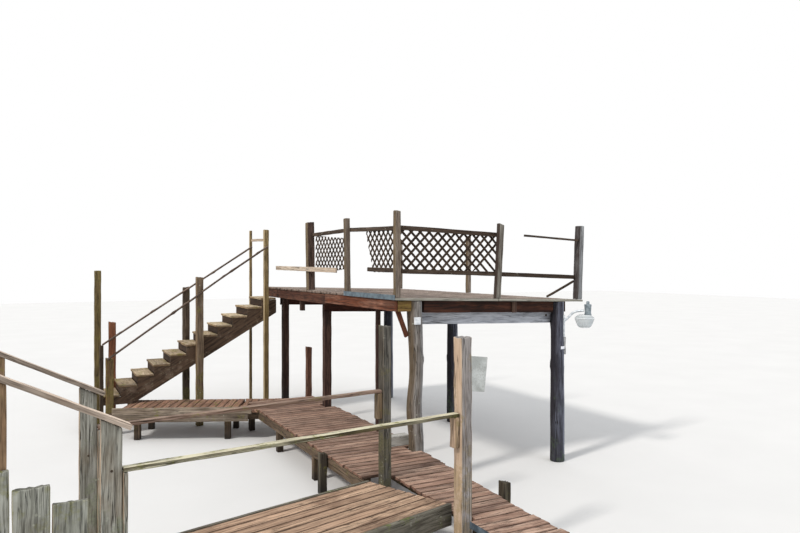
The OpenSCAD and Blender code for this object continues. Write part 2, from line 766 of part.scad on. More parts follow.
module landing_posts() color("#5f5648")
    on_landing()
        for (x = landing_rows, side = [-1, 1])
            post(x - stub_side / 2 - eps, side * (landing_width / 2 - stub_side / 2 - eps), 0,
                landing_z - walk_board_t - eps, stub_side);

// Level rails run from the two stations up to the tall posts
level_t = 38;
level_w = 89;
level_z = walk_top + level_h;
station_shift = 95;
function rail_end(side) = tall_x(side) - (side < 0 ? tall_side : far_tall_side) / 2;
function station_x(side) = -level_len - tall_side / 2 + (side > 0 ? station_shift : 0);
module level_rails() color("#8f8a55")
    on_approach()
        for (side = [-1, 1])
            timber([station_x(side), side * tall_y, level_z - level_t / 2],
                [rail_end(side) - 1, side * tall_y, level_z + level_lift - level_t / 2],
                level_w, level_t);
cleat_h = 330;
cleat_t = 70;
module rail_cleats() color("#7d6a4a")
    on_approach()
        for (side = [-1, 1])
            translate([rail_end(side) - cleat_t - 1, side * tall_y - level_w / 2,
                    level_z + level_lift - level_t - 3 - cleat_h])
                cube([cleat_t, level_w, cleat_h]);

// Stations: a broad plank that carries the sloping handrail, a prop under the level rail
station_t = 50;
slope_t = 45;
slope_w = 120;
plank_w = 165;
slope_drop = slope_t / cos(slope_angle);
function slope_z(x, side) = walk_top + slope_rail_h + (station_x(side) - x) * tan(slope_angle);
// An upright whose top is cut to lie against the sloping handrail
module slope_upright(x, y, wide, thick, side) {
    difference() {
        translate([x - wide / 2, y - thick / 2, 0])
            cube([wide, thick, slope_z(x - wide / 2, side)]);
        translate([x, y, slope_z(x, side) - slope_drop - 1])
            rotate([0, slope_angle, 0])
                translate([-2 * plank_w, -thick, 0])
                    cube([4 * plank_w, 2 * thick, 4 * plank_w]);
    }
}
module station_planks() color("#8b8478")
    on_approach()
        for (side = [-1, 1]) {
            slope_upright(station_x(side) - plank_w / 2 - 1, side * tall_y, plank_w, station_t,
                side);
            translate([station_x(side), side * tall_y - level_w / 2, 0])
                cube([level_t, level_w, level_z - level_t - 1]);
        }
slope_run = 2.35 * slope_bay;
handrail_past = 62;
module slope_handrails() color("#9a8f7c")
    on_approach()
        for (side = [-1, 1]) {
            x0 = station_x(side) + handrail_past;
            x1 = station_x(side) - slope_run;
            timber([x0, side * tall_y, slope_z(x0, side) - slope_drop / 2],
                [x1, side * tall_y, slope_z(x1, side) - slope_drop / 2], slope_w, slope_t);
        }
module slope_posts() color("#8b6b4a")
    on_approach()
        for (side = [-1, 1], i = [1, 2])
            slope_upright(station_x(side) - plank_w / 2 - i * slope_bay, side * tall_y,
                guard_side, guard_side, side);

// Upright planks that hold the bank beside the lower end of the sloping rail
bank_plank_w = 250;
bank_plank_h = 935;
module bank_planks() color("#6f6f55")
    on_approach()
        for (i = [0:3])
            translate([station_x(-1) - plank_w - 82 - (i + 1) * (bank_plank_w + 12),
                    -tall_y - guard_side / 2 - station_t - eps, 0])
                cube([bank_plank_w, station_t, walk_top + bank_plank_h + 150 * i]);

// Lamp on the corner pile: arm, hood with its switch, ribbed bowl, conduit with its clip

lamp_turn = -55;
lamp_x = pile_d / 2 + lamp_reach;
lamp_bowl_z = lamp_z + 60;
lamp_bowl_h = 215;
lamp_wide_z = 55;
lamp_top_d = 190;
lamp_foot_d = 190;
lamp_wall = 7;
hood_x = lamp_x + 55;
hood_h = 172;
pipe_d = 42;
arm_start_z = lamp_z - 30;
arm_knee_z = lamp_z + 95;
arm_end_z = lamp_z + 128;
leg_h = 360;
leg_z = lamp_z - 320;
leg_t = 10;
leg_w = 70;
conduit_d = 28;
conduit_h = 290;
clip_turn = -27;
clip_w = 86;
clip_z = lamp_z - 523;
module on_lamp() {
    rotate([0, 0, lamp_turn])
        children();
}
module lamp_arm() color("#c9ccd0")
    on_lamp() {
        face_x = pile_r(leg_z) + 1;
        knee_x = face_x + leg_t + 130;
        translate([face_x, -leg_w / 2, leg_z])
            cube([leg_t, leg_w, leg_h]);
        pole([face_x + leg_t + 6, 0, arm_start_z], [knee_x, 0, arm_knee_z], pipe_d);
        pole([knee_x - 6, 0, arm_knee_z - 4], [hood_x - lamp_hood_d / 2 - 5, 0, arm_end_z], pipe_d);
    }
module lamp_hood() color("#b9bcc0")
    on_lamp()
        translate([hood_x, 0, lamp_bowl_z]) {
            cylinder(h = hood_h, d = lamp_hood_d);
            translate([0, 0, hood_h])
                cylinder(h = hood_h * 0.3, d = lamp_hood_d / 2);
        }
// The bowl's shape, hanging from its flat top: it widens a little way down, then narrows
module bowl_shape(inset) {
    translate([0, 0, -lamp_wide_z])
        cylinder(h = lamp_wide_z - inset, d1 = lamp_bowl_d - 2 * inset, d2 = lamp_top_d);
    translate([0, 0, -lamp_bowl_h - inset])
        cylinder(h = lamp_bowl_h - lamp_wide_z + inset, d1 = lamp_foot_d - 2 * inset,
            d2 = lamp_bowl_d - 2 * inset);
}
module lamp_bowl() color("#dfe6ea")
    on_lamp()
        translate([lamp_x, 0, lamp_bowl_z - eps])
            difference() {
                bowl_shape(0);
                bowl_shape(lamp_wall);
            }
module lamp_conduit() color("#8f9092")
    on_lamp() {
        conduit_z = leg_z - conduit_h - 2;
        translate([pile_r(conduit_z) + conduit_d / 2 + 1, 0, conduit_z])
            cylinder(h = conduit_h, d = conduit_d, $fn = 16);
        rotate([0, 0, clip_turn])
            translate([pile_r(clip_z) + 1, -clip_w / 2, clip_z])
                cube([6, clip_w, 48]);
    }

// A small switch box on the front of the log
module switch_box() color("#d8dbe0")
    translate([guard_x + 306 - 47, log_y - log_top_r - 42, 2404])
        cube([95, 40, 107]);

corner_pile();
far_piles();
corner_log();
bank_props();
grey_cross_board();
red_cross_boards();
rim_joists();
bank_fascia();
joists();
deck_boards();
edge_strips();
deck_blocks();
knee_brace();
bank_guard_posts();
near_guard_posts();
water_guard_posts();
top_rails();
lower_rails();
pale_rail();
near_lattice();
bank_lattice();
guard_brace();
stair_stringers();
stair_treads();
stair_risers();
stair_foot_posts();
stair_mid_posts();
stair_top_posts();
stair_handrails();
walk_boards();
arm_boards();
walk_bearers();
arm_edge_boards();
walk_posts();
walk_stubs();
walk_sleeper();
tall_posts();
post_plate();
landing_deck();
landing_sides();
landing_posts();
level_rails();
rail_cleats();
station_planks();
slope_handrails();
slope_posts();
bank_planks();
lamp_arm();
lamp_hood();
lamp_bowl();
lamp_conduit();
switch_box();
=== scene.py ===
# %% [markdown]
# # A weathered timber jetty
# The jetty comes packed as plain solids. This script reads them as a fixed frame and
# dresses each one in worn wood, metal or clear plastic, in metres and in the same place.

# %% Load the frame
import bpy
import math
import zlib
import numpy as np
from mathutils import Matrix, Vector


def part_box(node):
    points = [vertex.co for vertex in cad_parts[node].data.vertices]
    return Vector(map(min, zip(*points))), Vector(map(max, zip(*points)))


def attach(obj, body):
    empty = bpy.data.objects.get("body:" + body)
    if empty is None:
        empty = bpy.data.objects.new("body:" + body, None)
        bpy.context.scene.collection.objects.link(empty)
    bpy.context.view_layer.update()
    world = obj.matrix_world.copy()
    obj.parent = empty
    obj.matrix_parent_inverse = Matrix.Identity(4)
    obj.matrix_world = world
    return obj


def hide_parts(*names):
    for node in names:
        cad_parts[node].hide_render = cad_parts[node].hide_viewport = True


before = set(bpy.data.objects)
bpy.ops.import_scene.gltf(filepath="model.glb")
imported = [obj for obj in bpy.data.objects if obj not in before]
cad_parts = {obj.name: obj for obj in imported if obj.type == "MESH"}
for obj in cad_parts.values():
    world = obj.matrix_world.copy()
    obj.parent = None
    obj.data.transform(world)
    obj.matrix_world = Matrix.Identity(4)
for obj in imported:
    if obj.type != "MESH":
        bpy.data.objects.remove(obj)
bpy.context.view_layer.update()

# %% [markdown]
# The camera stands at the photograph's viewpoint: level, 3.26 m above the floor, and
# turned 28 degrees off the jetty's long side. The lens in millimetres follows from the
# focal length in pixels, because both are measured against the picture's width.

# %% Camera
EYE = (-7.70, -8.85, 3.26)
HEADING = 28.0
FOCAL_PIXELS = 680.0
IMAGE_WIDTH = 800.0
SENSOR_WIDTH = 36.0
FARTHEST_SEEN = 200.0

camera = bpy.data.cameras.new("camera")
camera.sensor_width = SENSOR_WIDTH
camera.lens = SENSOR_WIDTH * FOCAL_PIXELS / IMAGE_WIDTH
camera.clip_end = FARTHEST_SEEN
camera_object = bpy.data.objects.new("camera", camera)
camera_object.location = EYE
camera_object.rotation_euler = (math.radians(90), 0, math.radians(-HEADING))
bpy.context.scene.collection.objects.link(camera_object)
bpy.context.scene.camera = camera_object
print("lens", round(camera.lens, 2), "mm")

# %% [markdown]
# A finish is a small network of shader nodes. Written as Python, `1 - mask * 2` reads
# better than two boxes and three wires, so a class wraps each socket and turns the
# arithmetic into Math nodes. Colours are mixed with a Mix node, because Math makes grey.

# %% Shader arithmetic
class Wire:
    """One socket of a finish; +, - and * on it add a Math node each."""

    def __init__(self, finish, socket):
        self.finish = finish
        self.socket = socket

    def maths(self, operation, first, second):
        """A Math node on two values, each a number or a wire."""
        return self.finish.node("ShaderNodeMath", {"operation": operation}, {0: first, 1: second})

    def __add__(self, other):
        return self.maths("ADD", self, other)

    def __sub__(self, other):
        return self.maths("SUBTRACT", self, other)

    def __rsub__(self, other):
        return self.maths("SUBTRACT", other, self)

    def __mul__(self, other):
        return self.maths("MULTIPLY", self, other)

    def size(self):
        """The value without its sign."""
        return self.maths("ABSOLUTE", self, 0.0)

    def or_more(self, other):
        """The larger of two values."""
        return self.maths("MAXIMUM", self, other)

    def step(self, low, high):
        """0 below low, 1 above high, and a smooth rise between; falls where low > high."""
        ends = {"From Min": low, "From Max": high, "To Min": 0.0, "To Max": 1.0}
        if low > high:
            ends = {"From Min": high, "From Max": low, "To Min": 1.0, "To Max": 0.0}
        return self.finish.node("ShaderNodeMapRange", {"interpolation_type": "SMOOTHSTEP"},
                                {"Value": self, **ends})

    __radd__ = __add__
    __rmul__ = __mul__


def paint(code):
    """The linear colour of a web colour such as "#8a7a6a": ((s + 0.055) / 1.055) ** 2.4."""
    channels = [int(code[i:i + 2], 16) / 255 for i in (1, 3, 5)]
    return tuple([c / 12.92 if c < 0.04045 else ((c + 0.055) / 1.055) ** 2.4
                  for c in channels] + [1.0])


print("the middle grey of the web is", round(paint("#808080")[0], 3), "in linear light")

# %% [markdown]
# A finish holds a material, or the sky's world, and one method that makes all its nodes.
# The other methods are the few kinds of node that most finishes need.

# %% Finishes
FINISHES = {}


class Finish:
    """A new material, or the sky's world, whose nodes are all made by one method."""

    def __init__(self, name, world=None):
        self.owner = world or bpy.data.materials.new(name)
        self.owner.use_nodes = True
        self.tree = self.owner.node_tree
        self.shader = self.tree.nodes["Background" if world else "Principled BSDF"]
        FINISHES[name] = self.owner

    def node(self, kind, settings=None, inputs=None, out=0):
        """Adds a node: its settings first, then the value or link of each socket."""
        made = self.tree.nodes.new(kind)
        for key, value in (settings or {}).items():
            setattr(made, key, value)
        for key, value in (inputs or {}).items():
            self.feed(made.inputs[key], value)
        return Wire(self, made.outputs[out])

    def feed(self, socket, value):
        """Links a wire to a socket, or writes a plain value on it."""
        if isinstance(value, Wire):
            self.tree.links.new(value.socket, socket)
        else:
            socket.default_value = value

    def mix(self, mask, below, above):
        """The colour below where mask is 0, and the colour above where it is 1."""
        return self.node("ShaderNodeMix", {"data_type": "RGBA", "clamp_factor": True},
                         {0: mask, 6: below, 7: above}, 2)

    def shade(self, colour, value):
        """A colour made darker or lighter: each channel times value."""
        return self.node("ShaderNodeHueSaturation", None, {"Value": value, "Color": colour})

    def place(self, x, y, z=0.0):
        """A vector from its three parts."""
        return self.node("ShaderNodeCombineXYZ", None, {0: x, 1: y, 2: z})

    def parts(self, vector):
        """The three parts of a vector."""
        first = self.node("ShaderNodeSeparateXYZ", None, {0: vector})
        return [Wire(self, output) for output in first.socket.node.outputs]

    def here(self):
        """Where a point is on the object, in metres."""
        return self.node("ShaderNodeTexCoord", out=3)

    def noise(self, where, scale, detail=3.0, rough=0.55):
        """Soft noise from 0 to 1: scale cells to the metre, detail finer layers over them."""
        return self.node("ShaderNodeTexNoise", {"noise_dimensions": "3D"},
                         {"Vector": where, "Scale": scale, "Detail": detail, "Roughness": rough})

    def set(self, **inputs):
        """Feeds the shader's own sockets; an underscore in a name stands for a space."""
        for key, value in inputs.items():
            self.feed(self.shader.inputs[key.replace("_", " ")], value)

    def bump(self, height, distance):
        """Small relief: height, from 0 to 1, stands for distance in metres."""
        self.set(Normal=self.node("ShaderNodeBump", None, {
            "Height": height, "Distance": distance, "Strength": 1.0}))


print("a finish can", [name for name in vars(Finish) if not name.startswith("_")])

# %% [markdown]
# Wood left in the rain goes grey, its soft grain washes out, checks open along it, and
# moss settles where damp stays: on faces that look up, in hollows and low on a post.
# Every timber carries a UV map in metres, the first number along the grain, so the
# streaks follow each piece. Its tone attribute makes neighbours differ, its end
# attribute marks the sawn ends, where the grain shows as rings, and its edge attribute
# marks the long edges.

# %% Weathered wood
CHECK_PAINT, SOAKED_PAINT, LICHEN_PAINT = "#17110d", "#120f0d", "#a9ab9b"
# How little bare wood mirrors, and how deep its grain stands in metres
DULL, GRAIN_DEEP = 0.25, 0.0035


def figure(f, along, across, tone):
    """The marks that run with a timber: grain, fine streaks, wide bands and checks.

    grain, streaks and wide = noise drawn out along the timber, with 42, 150 and 11 cells
    to the metre across it; checks = the thin band where a fourth such noise, with 30
    cells, crosses its middle while wide is high.
    """
    sway = f.noise(f.place(along * 1.3, across * 5.0), 1.0, 2.0)
    grain = f.noise(f.place(along * 3.0, across * 42.0 + sway * 3.0), 1.0, 5.0, 0.65)
    streaks = f.noise(f.place(along * 2.2, across * 150.0 + sway * 6.0, tone * 9.0), 1.0, 3.0, 0.6)
    wide = f.noise(f.place(along * 0.9, across * 11.0, tone * 5.0), 1.0, 3.0)
    line = (f.noise(f.place(along * 1.1, across * 30.0 + sway * 2.0, tone * 13.0), 1.0, 2.0)
            - 0.5).size()
    return grain, streaks, wide, line.step(0.018, 0.004) * wide.step(0.42, 0.56)


def wood(name, deep, body, pale, moss=0.0, moss_paint="#7f7d3a", stain="#3a2c22", stained=0.3,
         lichen=0.0, wet=None, streak=1.0, sun=0.35, relief=1.0, side=None, far_side_light=None,
         rim=None, damp=None):
    """A grained finish: deep in the grooves, body between, pale in bands and as painted light on
    tops.

    colour = deep to body by the grain, to pale by the wide bands and, as painted light, by
    how far the face looks up, times sun; then side, a colour on faces that look towards -X,
    painted sunlight where it is lighter than the body and painted shade where it is darker,
    and the far side colour, painted sky light on those that look towards +X; stain in
    blotches; rim, a colour in speckled bands along the long edges; dark checks; rings on the
    sawn ends; moss, which is patches times how far the face looks up, and more below the
    height damp; lichen in round spots; and last, a soaked foot below the height wet.
    """
    f = Finish(name)
    along, across, _ = f.parts(f.node("ShaderNodeUVMap", {"uv_map": "grain"}))
    tone, end, edge = (f.node("ShaderNodeAttribute", {"attribute_name": mark}, out=2)
                       for mark in ("tone", "end", "edge"))
    place = f.here()
    height = f.parts(place)[2]
    turned, _, up = f.parts(f.node("ShaderNodeNewGeometry", out=1))
    grain, streaks, wide, checks = figure(f, along, across, tone)
    blotch = f.noise(place, 2.3, 4.0, 0.6)
    speck = f.noise(place, 38.0, 3.0, 0.6)

    colour = f.mix(grain.step(0.3, 0.62), paint(deep), paint(body))
    # Painted light: a face that looks up turns pale by sun, on top of the pale of the wide bands
    bands_and_top_light = (wide.step(0.4, 0.68) * 0.65 + up.step(0.1, 0.9) * sun) * grain.step(0.25, 0.6)
    colour = f.mix(bands_and_top_light, colour, paint(pale))
    # Painted light and shade: the side colour is sunlight on -X faces where lighter, shade where
    # darker
    if side:
        colour = f.mix(turned.step(-0.3, -0.9) * (0.35 + blotch * 0.9), colour, paint(side))
    # Painted sky light: faces that look towards +X take the far side colour
    if far_side_light:
        colour = f.mix(turned.step(0.0, 0.8) * (0.3 + grain * 0.9), colour, paint(far_side_light))
    colour = f.mix(blotch.step(0.48, 0.7) * stained, colour, paint(stain))
    # A speckled band of the rim colour along the long edges: dark on most deck boards, light on
    # posts
    if rim:
        edge_band = edge.step(0.1, 1.0) * (speck.step(0.3, 0.6) * 0.35 + 0.5)
        colour = f.mix(edge_band, colour, paint(rim))
    colour = f.shade(colour, (tone * 0.42 + 0.8) * (1.0 - streak * 0.55 * streaks.step(0.5, 0.75)))
    colour = f.mix(checks * 0.85, colour, paint(CHECK_PAINT))
    rings = f.noise(f.place(along * 60.0, across * 60.0), 1.0, 4.0, 0.7)
    colour = f.mix(end * 0.75, colour, f.mix(rings.step(0.35, 0.6), paint(deep), paint(body)))
    if moss:
        patch = f.noise(place, 5.5, 5.0, 0.65) + speck * 0.25 - 0.12
        if damp:
            patch = patch + (height + blotch).step(damp + 0.9, damp + 0.3) * 0.16
        mask = patch.step(0.62 - 0.22 * moss, 0.72 - 0.12 * moss)
        mask = mask * (up.step(-0.2, 0.7) * 0.65 + 0.35)
        green = f.mix(speck.step(0.35, 0.65), f.shade(paint(moss_paint), 0.45), paint(moss_paint))
        colour = f.mix(mask * 0.9, colour, green)
        grain = grain + mask * speck * 0.7
    if lichen:
        dots = f.node("ShaderNodeTexVoronoi", {"feature": "F1"}, {"Vector": place, "Scale": 21.0})
        spots = dots.step(0.30, 0.16) * f.noise(place, 3.1, 2.0).step(0.66 - 0.3 * lichen, 0.72)
        colour = f.mix(spots * 0.75, colour, paint(LICHEN_PAINT))
    rough = 0.93 - streaks * 0.12
    if wet:
        soak = (height + blotch * 0.5).step(wet + 0.45, wet + 0.05)
        colour = f.mix(soak * 0.86, colour, paint(SOAKED_PAINT))
        rough = rough - soak * 0.28
    f.set(Base_Color=colour, Roughness=rough, Specular_IOR_Level=DULL)
    f.bump(grain * 0.75 + streaks * 0.45 - checks * 1.6, GRAIN_DEEP * relief)


print("grain stands", 1000 * GRAIN_DEEP, "mm deep where relief is 1")

# %% [markdown]
# The piles and posts share the grain but not the colour. The palettes are read off the
# photograph: red-brown stain, silver-grey where the weather has washed it out, black at a
# soaked foot. Each line gives the deep, the body and the pale colour of one kind of timber,
# and then what has happened to it and the light and shade painted on its faces.

# %% Palettes
# The pile's side colour is painted shade from the deck, its far side colour a painted sky
# reflection
wood("pile", "#1f1f26", "#3b3b45", "#757a8a", wet=-0.1, streak=0.9, stained=0.45, stain="#1f1f26",
     side="#1f1c20", far_side_light="#9297a6", relief=1.8, moss=0.1, moss_paint="#566b48", damp=0.2)
wood("log", "#4c443c", "#8c8681", "#b4b1ae", wet=0.35, streak=0.7, lichen=0.5, stain="#4b3f33",
     side="#66553f", far_side_light="#a3a3a5", relief=2.2)
wood("prop", "#231816", "#49332c", "#70564a", wet=0.5, stained=0.5, stain="#170f0d")
wood("silver", "#777b84", "#a6aab2", "#c8ccd4", streak=0.5, stained=0.2, stain="#827c78",
     relief=0.9)
wood("red", "#1b0d09", "#3c1d14", "#643c2c", stained=0.55, stain="#170c09", streak=0.8)
# A darker copy of red for the rim joists: painted deep shade under the deck
wood("rim_red", "#140a07", "#301810", "#5a3626", stained=0.55, stain="#140b08", streak=0.8)
wood("fascia", "#331a10", "#633621", "#946e5c", stained=0.5, stain="#35241c", streak=0.8)
wood("fascia_back", "#24150f", "#4c2c20", "#76513f", stained=0.5, stain="#20140f", streak=0.8)
wood("deck", "#5b4c44", "#8c7b70", "#b3a59b", stained=0.4, stain="#5d463b", streak=0.9, sun=0.45,
     rim="#3a2d26")
wood("deck_edge", "#6d6a62", "#97958b", "#bcbab1", lichen=0.4, streak=0.9, sun=0.45, rim="#a5a398")
wood("block", "#452f1a", "#7a6036", "#98824c", moss=0.6, moss_paint="#8f8238", stained=0.4)
wood("block_dark", "#241812", "#46332a", "#6e594c", stained=0.4)
wood("guard", "#4a3f37", "#7f7266", "#a1978d", lichen=0.4, side="#67573f", stain="#4a3930",
     rim="#877c6d")
wood("heavy", "#241912", "#43312a", "#6b5850", side="#7f6f56", stained=0.5, stain="#2a1a13",
     rim="#7d6c5b")
# Near guard posts: the near-black side colour is painted shade on their -X faces; the mid post's
# darker finish is painted leaf shadow
wood("guard_dark", "#535153", "#96999c", "#babdbf", streak=0.9, side="#2b1a14", stained=0.35,
     stain="#4a3f3b")
wood("guard_leaf_shaded", "#3d3832", "#77736b", "#a3a098", side="#2b1a14", stained=0.4, stain="#4a3f3b")
wood("rail", "#211913", "#41342a", "#6c5d50", stained=0.5, streak=0.9, lichen=0.2)
wood("bleached", "#8f8172", "#bbaa98", "#d8ccbc", streak=0.6, stained=0.2, stain="#8a735c")
wood("lattice", "#1d1510", "#3a2d22", "#5d4e3f", stained=0.5, streak=0.6, relief=0.5)
wood("riser", "#20160f", "#39291e", "#574234", stained=0.5)
wood("tread", "#564331", "#8c745a", "#c2b096", moss=0.5, moss_paint="#8a8042", stained=0.45,
     sun=0.7, relief=1.6)
wood("tread_high", "#6a543e", "#a38b6d", "#d2c1a4", moss=0.35, moss_paint="#8f8548", stained=0.35,
     sun=0.9, relief=1.6)
wood("newel", "#382a1d", "#6a5439", "#8f7c55", moss=0.5, moss_paint="#76703a", side="#75452d",
     stained=0.45, rim="#8d8048", damp=0.9)
# A dark copy for the post beside the far newel: painted shade
wood("newel_in_shade", "#201811", "#3d3024", "#665643", moss=0.2, stained=0.4)
wood("newel_far", "#41371f", "#71603d", "#948158", moss=0.6, moss_paint="#76713c", stained=0.35,
     side="#75683f")
wood("newel_red", "#452a1c", "#85553c", "#a9795c", stained=0.5, stain="#4f3020", side="#8b5c40")
wood("mid_post", "#40342a", "#756452", "#9a8b79", moss=0.2, lichen=0.3, side="#776048",
     stained=0.35, rim="#a08a6e", damp=1.0)
wood("mid_far", "#2c231b", "#54463a", "#796b5c", moss=0.2, stained=0.4, damp=1.0)
wood("top_post", "#5a4628", "#8f7a52", "#b19c74", moss=0.2, moss_paint="#827a45", stain="#5a4028",
     side="#cbb793")
wood("pole", "#332822", "#5d4b40", "#85756a", stained=0.4, streak=0.8)
wood("walk", "#5a4035", "#8f6c5b", "#bba08f", stained=0.5, stain="#553e35", streak=0.9, sun=0.45,
     relief=1.5, rim="#2c1f19")
wood("arm", "#51392c", "#86604c", "#aa8772", stained=0.45, moss=0.25, sun=0.45, rim="#2c1f19")
wood("arm_edge", "#463b32", "#7e7163", "#a89b8c", moss=0.3, lichen=0.3, stained=0.45, streak=0.8)
wood("bearer", "#2f261e", "#564637", "#7d6b58", wet=0.15, stained=0.5, moss=0.3)
wood("landing", "#644c3c", "#a2826d", "#d5b69b", stained=0.45, stain="#5b4233", sun=0.5,
     streak=0.9, relief=1.4, rim="#35271f")
wood("landing_side", "#3d3a31", "#69645a", "#8c887c", moss=0.45, moss_paint="#69703f", lichen=0.5,
     stained=0.4)
wood("sleeper", "#9c9a92", "#c4c4be", "#dadad6", lichen=0.4, stained=0.15, side="#d8d9d4")
# The near tall post's side colour is painted sunlight on its -X face
wood("tall", "#524d4b", "#95908e", "#b7b3b1", streak=1.1, side="#bda38a", moss=0.2,
     moss_paint="#87743c", stained=0.25, stain="#716860", relief=1.7, rim="#ab9a86", damp=1.3)
wood("tall_far", "#33312d", "#66635d", "#8c8880", streak=1.1, side="#4a443c", moss=0.3,
     moss_paint="#6c6840", lichen=0.4, relief=1.7, rim="#7d766a", damp=1.2)
# The level rails' near-white pale, raised by sun, is painted light on their tops
wood("level", "#2f291a", "#574e34", "#e0dbc0", moss=0.35, moss_paint="#7c7d3a", sun=1.3,
     stain="#57493a", side="#64543f", streak=0.8)
wood("level_far", "#5a4338", "#8f7464", "#b9a292", moss=0.2, sun=0.6, stained=0.35,
     stain="#5d463a")
wood("slope_post", "#4d3b2a", "#846a50", "#a98f72", moss=0.2, stained=0.4)
wood("cleat", "#6f5b46", "#b39a7c", "#d0bb9f", moss=0.1, stained=0.2, side="#b9a08a")
wood("cleat_far", "#463829", "#75634c", "#93816a", moss=0.2, stained=0.4, side="#6f604e")
wood("station", "#4f4c42", "#8a887f", "#adada5", streak=1.1, stained=0.4, stain="#66533c",
     side="#b5a08a", lichen=0.3, moss=0.2, moss_paint="#7f8668", relief=1.5, damp=0.9)
# The handrails' pale, raised by sun, is painted light on their tops
wood("handrail", "#5d5147", "#93867a", "#e2cfbe", streak=1.1, stained=0.35, stain="#6f5c4c",
     sun=1.0)
wood("bank_plank", "#4c4d46", "#85867d", "#abaca4", moss=0.4, moss_paint="#77763a", lichen=0.5,
     stained=0.35, side="#96714f", rim="#8d8a72")
wood("stub", "#231e18", "#463f35", "#77705f", moss=0.4, wet=0.2, stained=0.4)
wood("stub_red", "#2e1c15", "#5f4033", "#8a6858", wet=0.2, stained=0.4)
print(len(FINISHES), "kinds of wood")

# %% [markdown]
# Metal and plastic are few here: a folded strip along two edges, a lamp in cast alloy
# with a ribbed bowl, a blank plate, and a small switch box.

# %% Other finishes
CAST_RELIEF = 0.0004
CLEAR_IOR = 1.5


def plain(name, low, high, rough, metal=0.0, scale=9.0, grime="#6b6558", dirt=0.35):
    """A painted or cast surface: two tones in soft patches, then grime in fine specks."""
    f = Finish(name)
    place = f.here()
    patch = f.noise(place, scale, 4.0, 0.6)
    fine = f.noise(place, scale * 9, 3.0, 0.6)
    colour = f.mix(patch.step(0.35, 0.65), paint(low), paint(high))
    colour = f.mix(fine.step(0.5, 0.72) * dirt, colour, paint(grime))
    f.set(Base_Color=colour, Roughness=rough + patch * 0.25, Metallic=metal)
    f.bump(fine + patch, CAST_RELIEF)


def clear_bowl(name, low, high):
    """Cloudy clear plastic: a thin pale body that lets most of the light through."""
    f = Finish(name)
    cloud = f.noise(f.here(), 14.0, 3.0)
    f.set(Base_Color=f.mix(cloud, paint(low), paint(high)), Roughness=0.12 + cloud * 0.2,
          Alpha=0.30 + cloud * 0.25, IOR=CLEAR_IOR)
    f.owner.surface_render_method = "DITHERED"


plain("strip", "#3f4f5b", "#657680", 0.45, metal=0.2, grime="#5c5046", dirt=0.6)
plain("strip_dark", "#39444e", "#5d6a74", 0.5, metal=0.2, grime="#3f3a36", dirt=0.5)
plain("alloy", "#b4bcc4", "#e3e9ee", 0.35, metal=0.25, scale=22.0, dirt=0.25)
plain("hood", "#66727a", "#8b979e", 0.4, metal=0.25, scale=22.0)
plain("conduit", "#77797b", "#a3a5a6", 0.55, scale=14.0, dirt=0.4)
plain("clip", "#dfe3ee", "#f4f5fb", 0.45, scale=14.0, dirt=0.15)
plain("plate", "#adb1ae", "#cdd1cf", 0.5, scale=7.0, dirt=0.4)
plain("box", "#c9ced4", "#e8ecf0", 0.4, scale=20.0, dirt=0.2)
plain("bolt", "#2c241e", "#57483a", 0.6, metal=0.5, scale=60.0, dirt=0.3)
# Near white, for the two rings on the lamp's bowl: a painted highlight
plain("rim", "#dfe6ec", "#f6f9fb", 0.3, scale=20.0, dirt=0.1)
clear_bowl("bowl", "#e6ecef", "#c9d3d8")
print(len(FINISHES), "finishes in all")

# %% [markdown]
# Every shape below is a shell: rows of points from one end to the other, each row a
# closed loop, with a point at either end to close it. Faces are worked out as arrays of
# point numbers, because a grid's neighbours follow from its two counts.

# %% Shells
def faces_of(rows, uv):
    """A shell's quads and end fans, as point numbers and as UV corners.

    Quad (i, j) joins rows i and i + 1 at columns j and j + 1, with the last column next
    to the first. Each end has a fan round the middle of its ring, and the two middles
    are numbered after all the rows.
    """
    r, t = rows.shape[:2]
    i, j = np.meshgrid(np.arange(r - 1), np.arange(t), indexing="ij")
    k = (j + 1) % t
    quads = np.stack([i * t + j, i * t + k, (i + 1) * t + k, (i + 1) * t + j], -1)
    quad_uv = np.stack([uv[i, j], uv[i, j + 1], uv[i + 1, j + 1], uv[i + 1, j]], 2)
    c = np.arange(t)
    n = (c + 1) % t
    last = (r - 1) * t
    fans = np.concatenate([np.stack([n, c, np.full(t, r * t)], -1),
                           np.stack([last + c, last + n, np.full(t, r * t + 1)], -1)])
    top, foot = uv[0, :-1].mean(axis=0), uv[-1, :-1].mean(axis=0)
    fan_uv = np.concatenate([np.stack([uv[0, c + 1], uv[0, c], np.tile(top, (t, 1))], 1),
                             np.stack([uv[-1, c], uv[-1, c + 1], np.tile(foot, (t, 1))], 1)])
    return quads.reshape(-1, 4), quad_uv.reshape(-1, 4, 2), fans, fan_uv


CAP_RINGS = (0.7, 0.35)


def capped(rows, uv, flat):
    """Rows and UV with two smaller rings inside either end, and 1 for each row of these.

    ring = middle + (end row - middle) * scale; flat lays a ring's end grain out.
    """
    caps = []
    for at in (0, -1):
        middle = rows[at].mean(axis=0)
        for scale in CAP_RINGS:
            ring = middle + (rows[at] - middle) * scale
            caps.append((ring, np.concatenate([flat(ring), flat(ring)[:1]])))
    rows = np.concatenate([[caps[1][0], caps[0][0]], rows, [caps[2][0], caps[3][0]]])
    uv = np.concatenate([[caps[1][1], caps[0][1]], uv, [caps[2][1], caps[3][1]]])
    ends = np.zeros(len(rows))
    ends[[0, 1, -2, -1]] = 1
    return rows, uv, ends


quads = faces_of(np.zeros((3, 4, 3)), np.zeros((3, 5, 2)))[0]
print("a shell of 3 rows by 4 points has", len(quads), "quads between its ends")

# %% [markdown]
# A heap gathers many shells and puts them into one mesh with foreach_set, which is far
# quicker than point by point. Near neighbours share their normals up to an angle, so a
# worn edge looks round and a sawn end stays sharp.

# %% Heaps
SHARP = math.radians(50)
TALLY = []


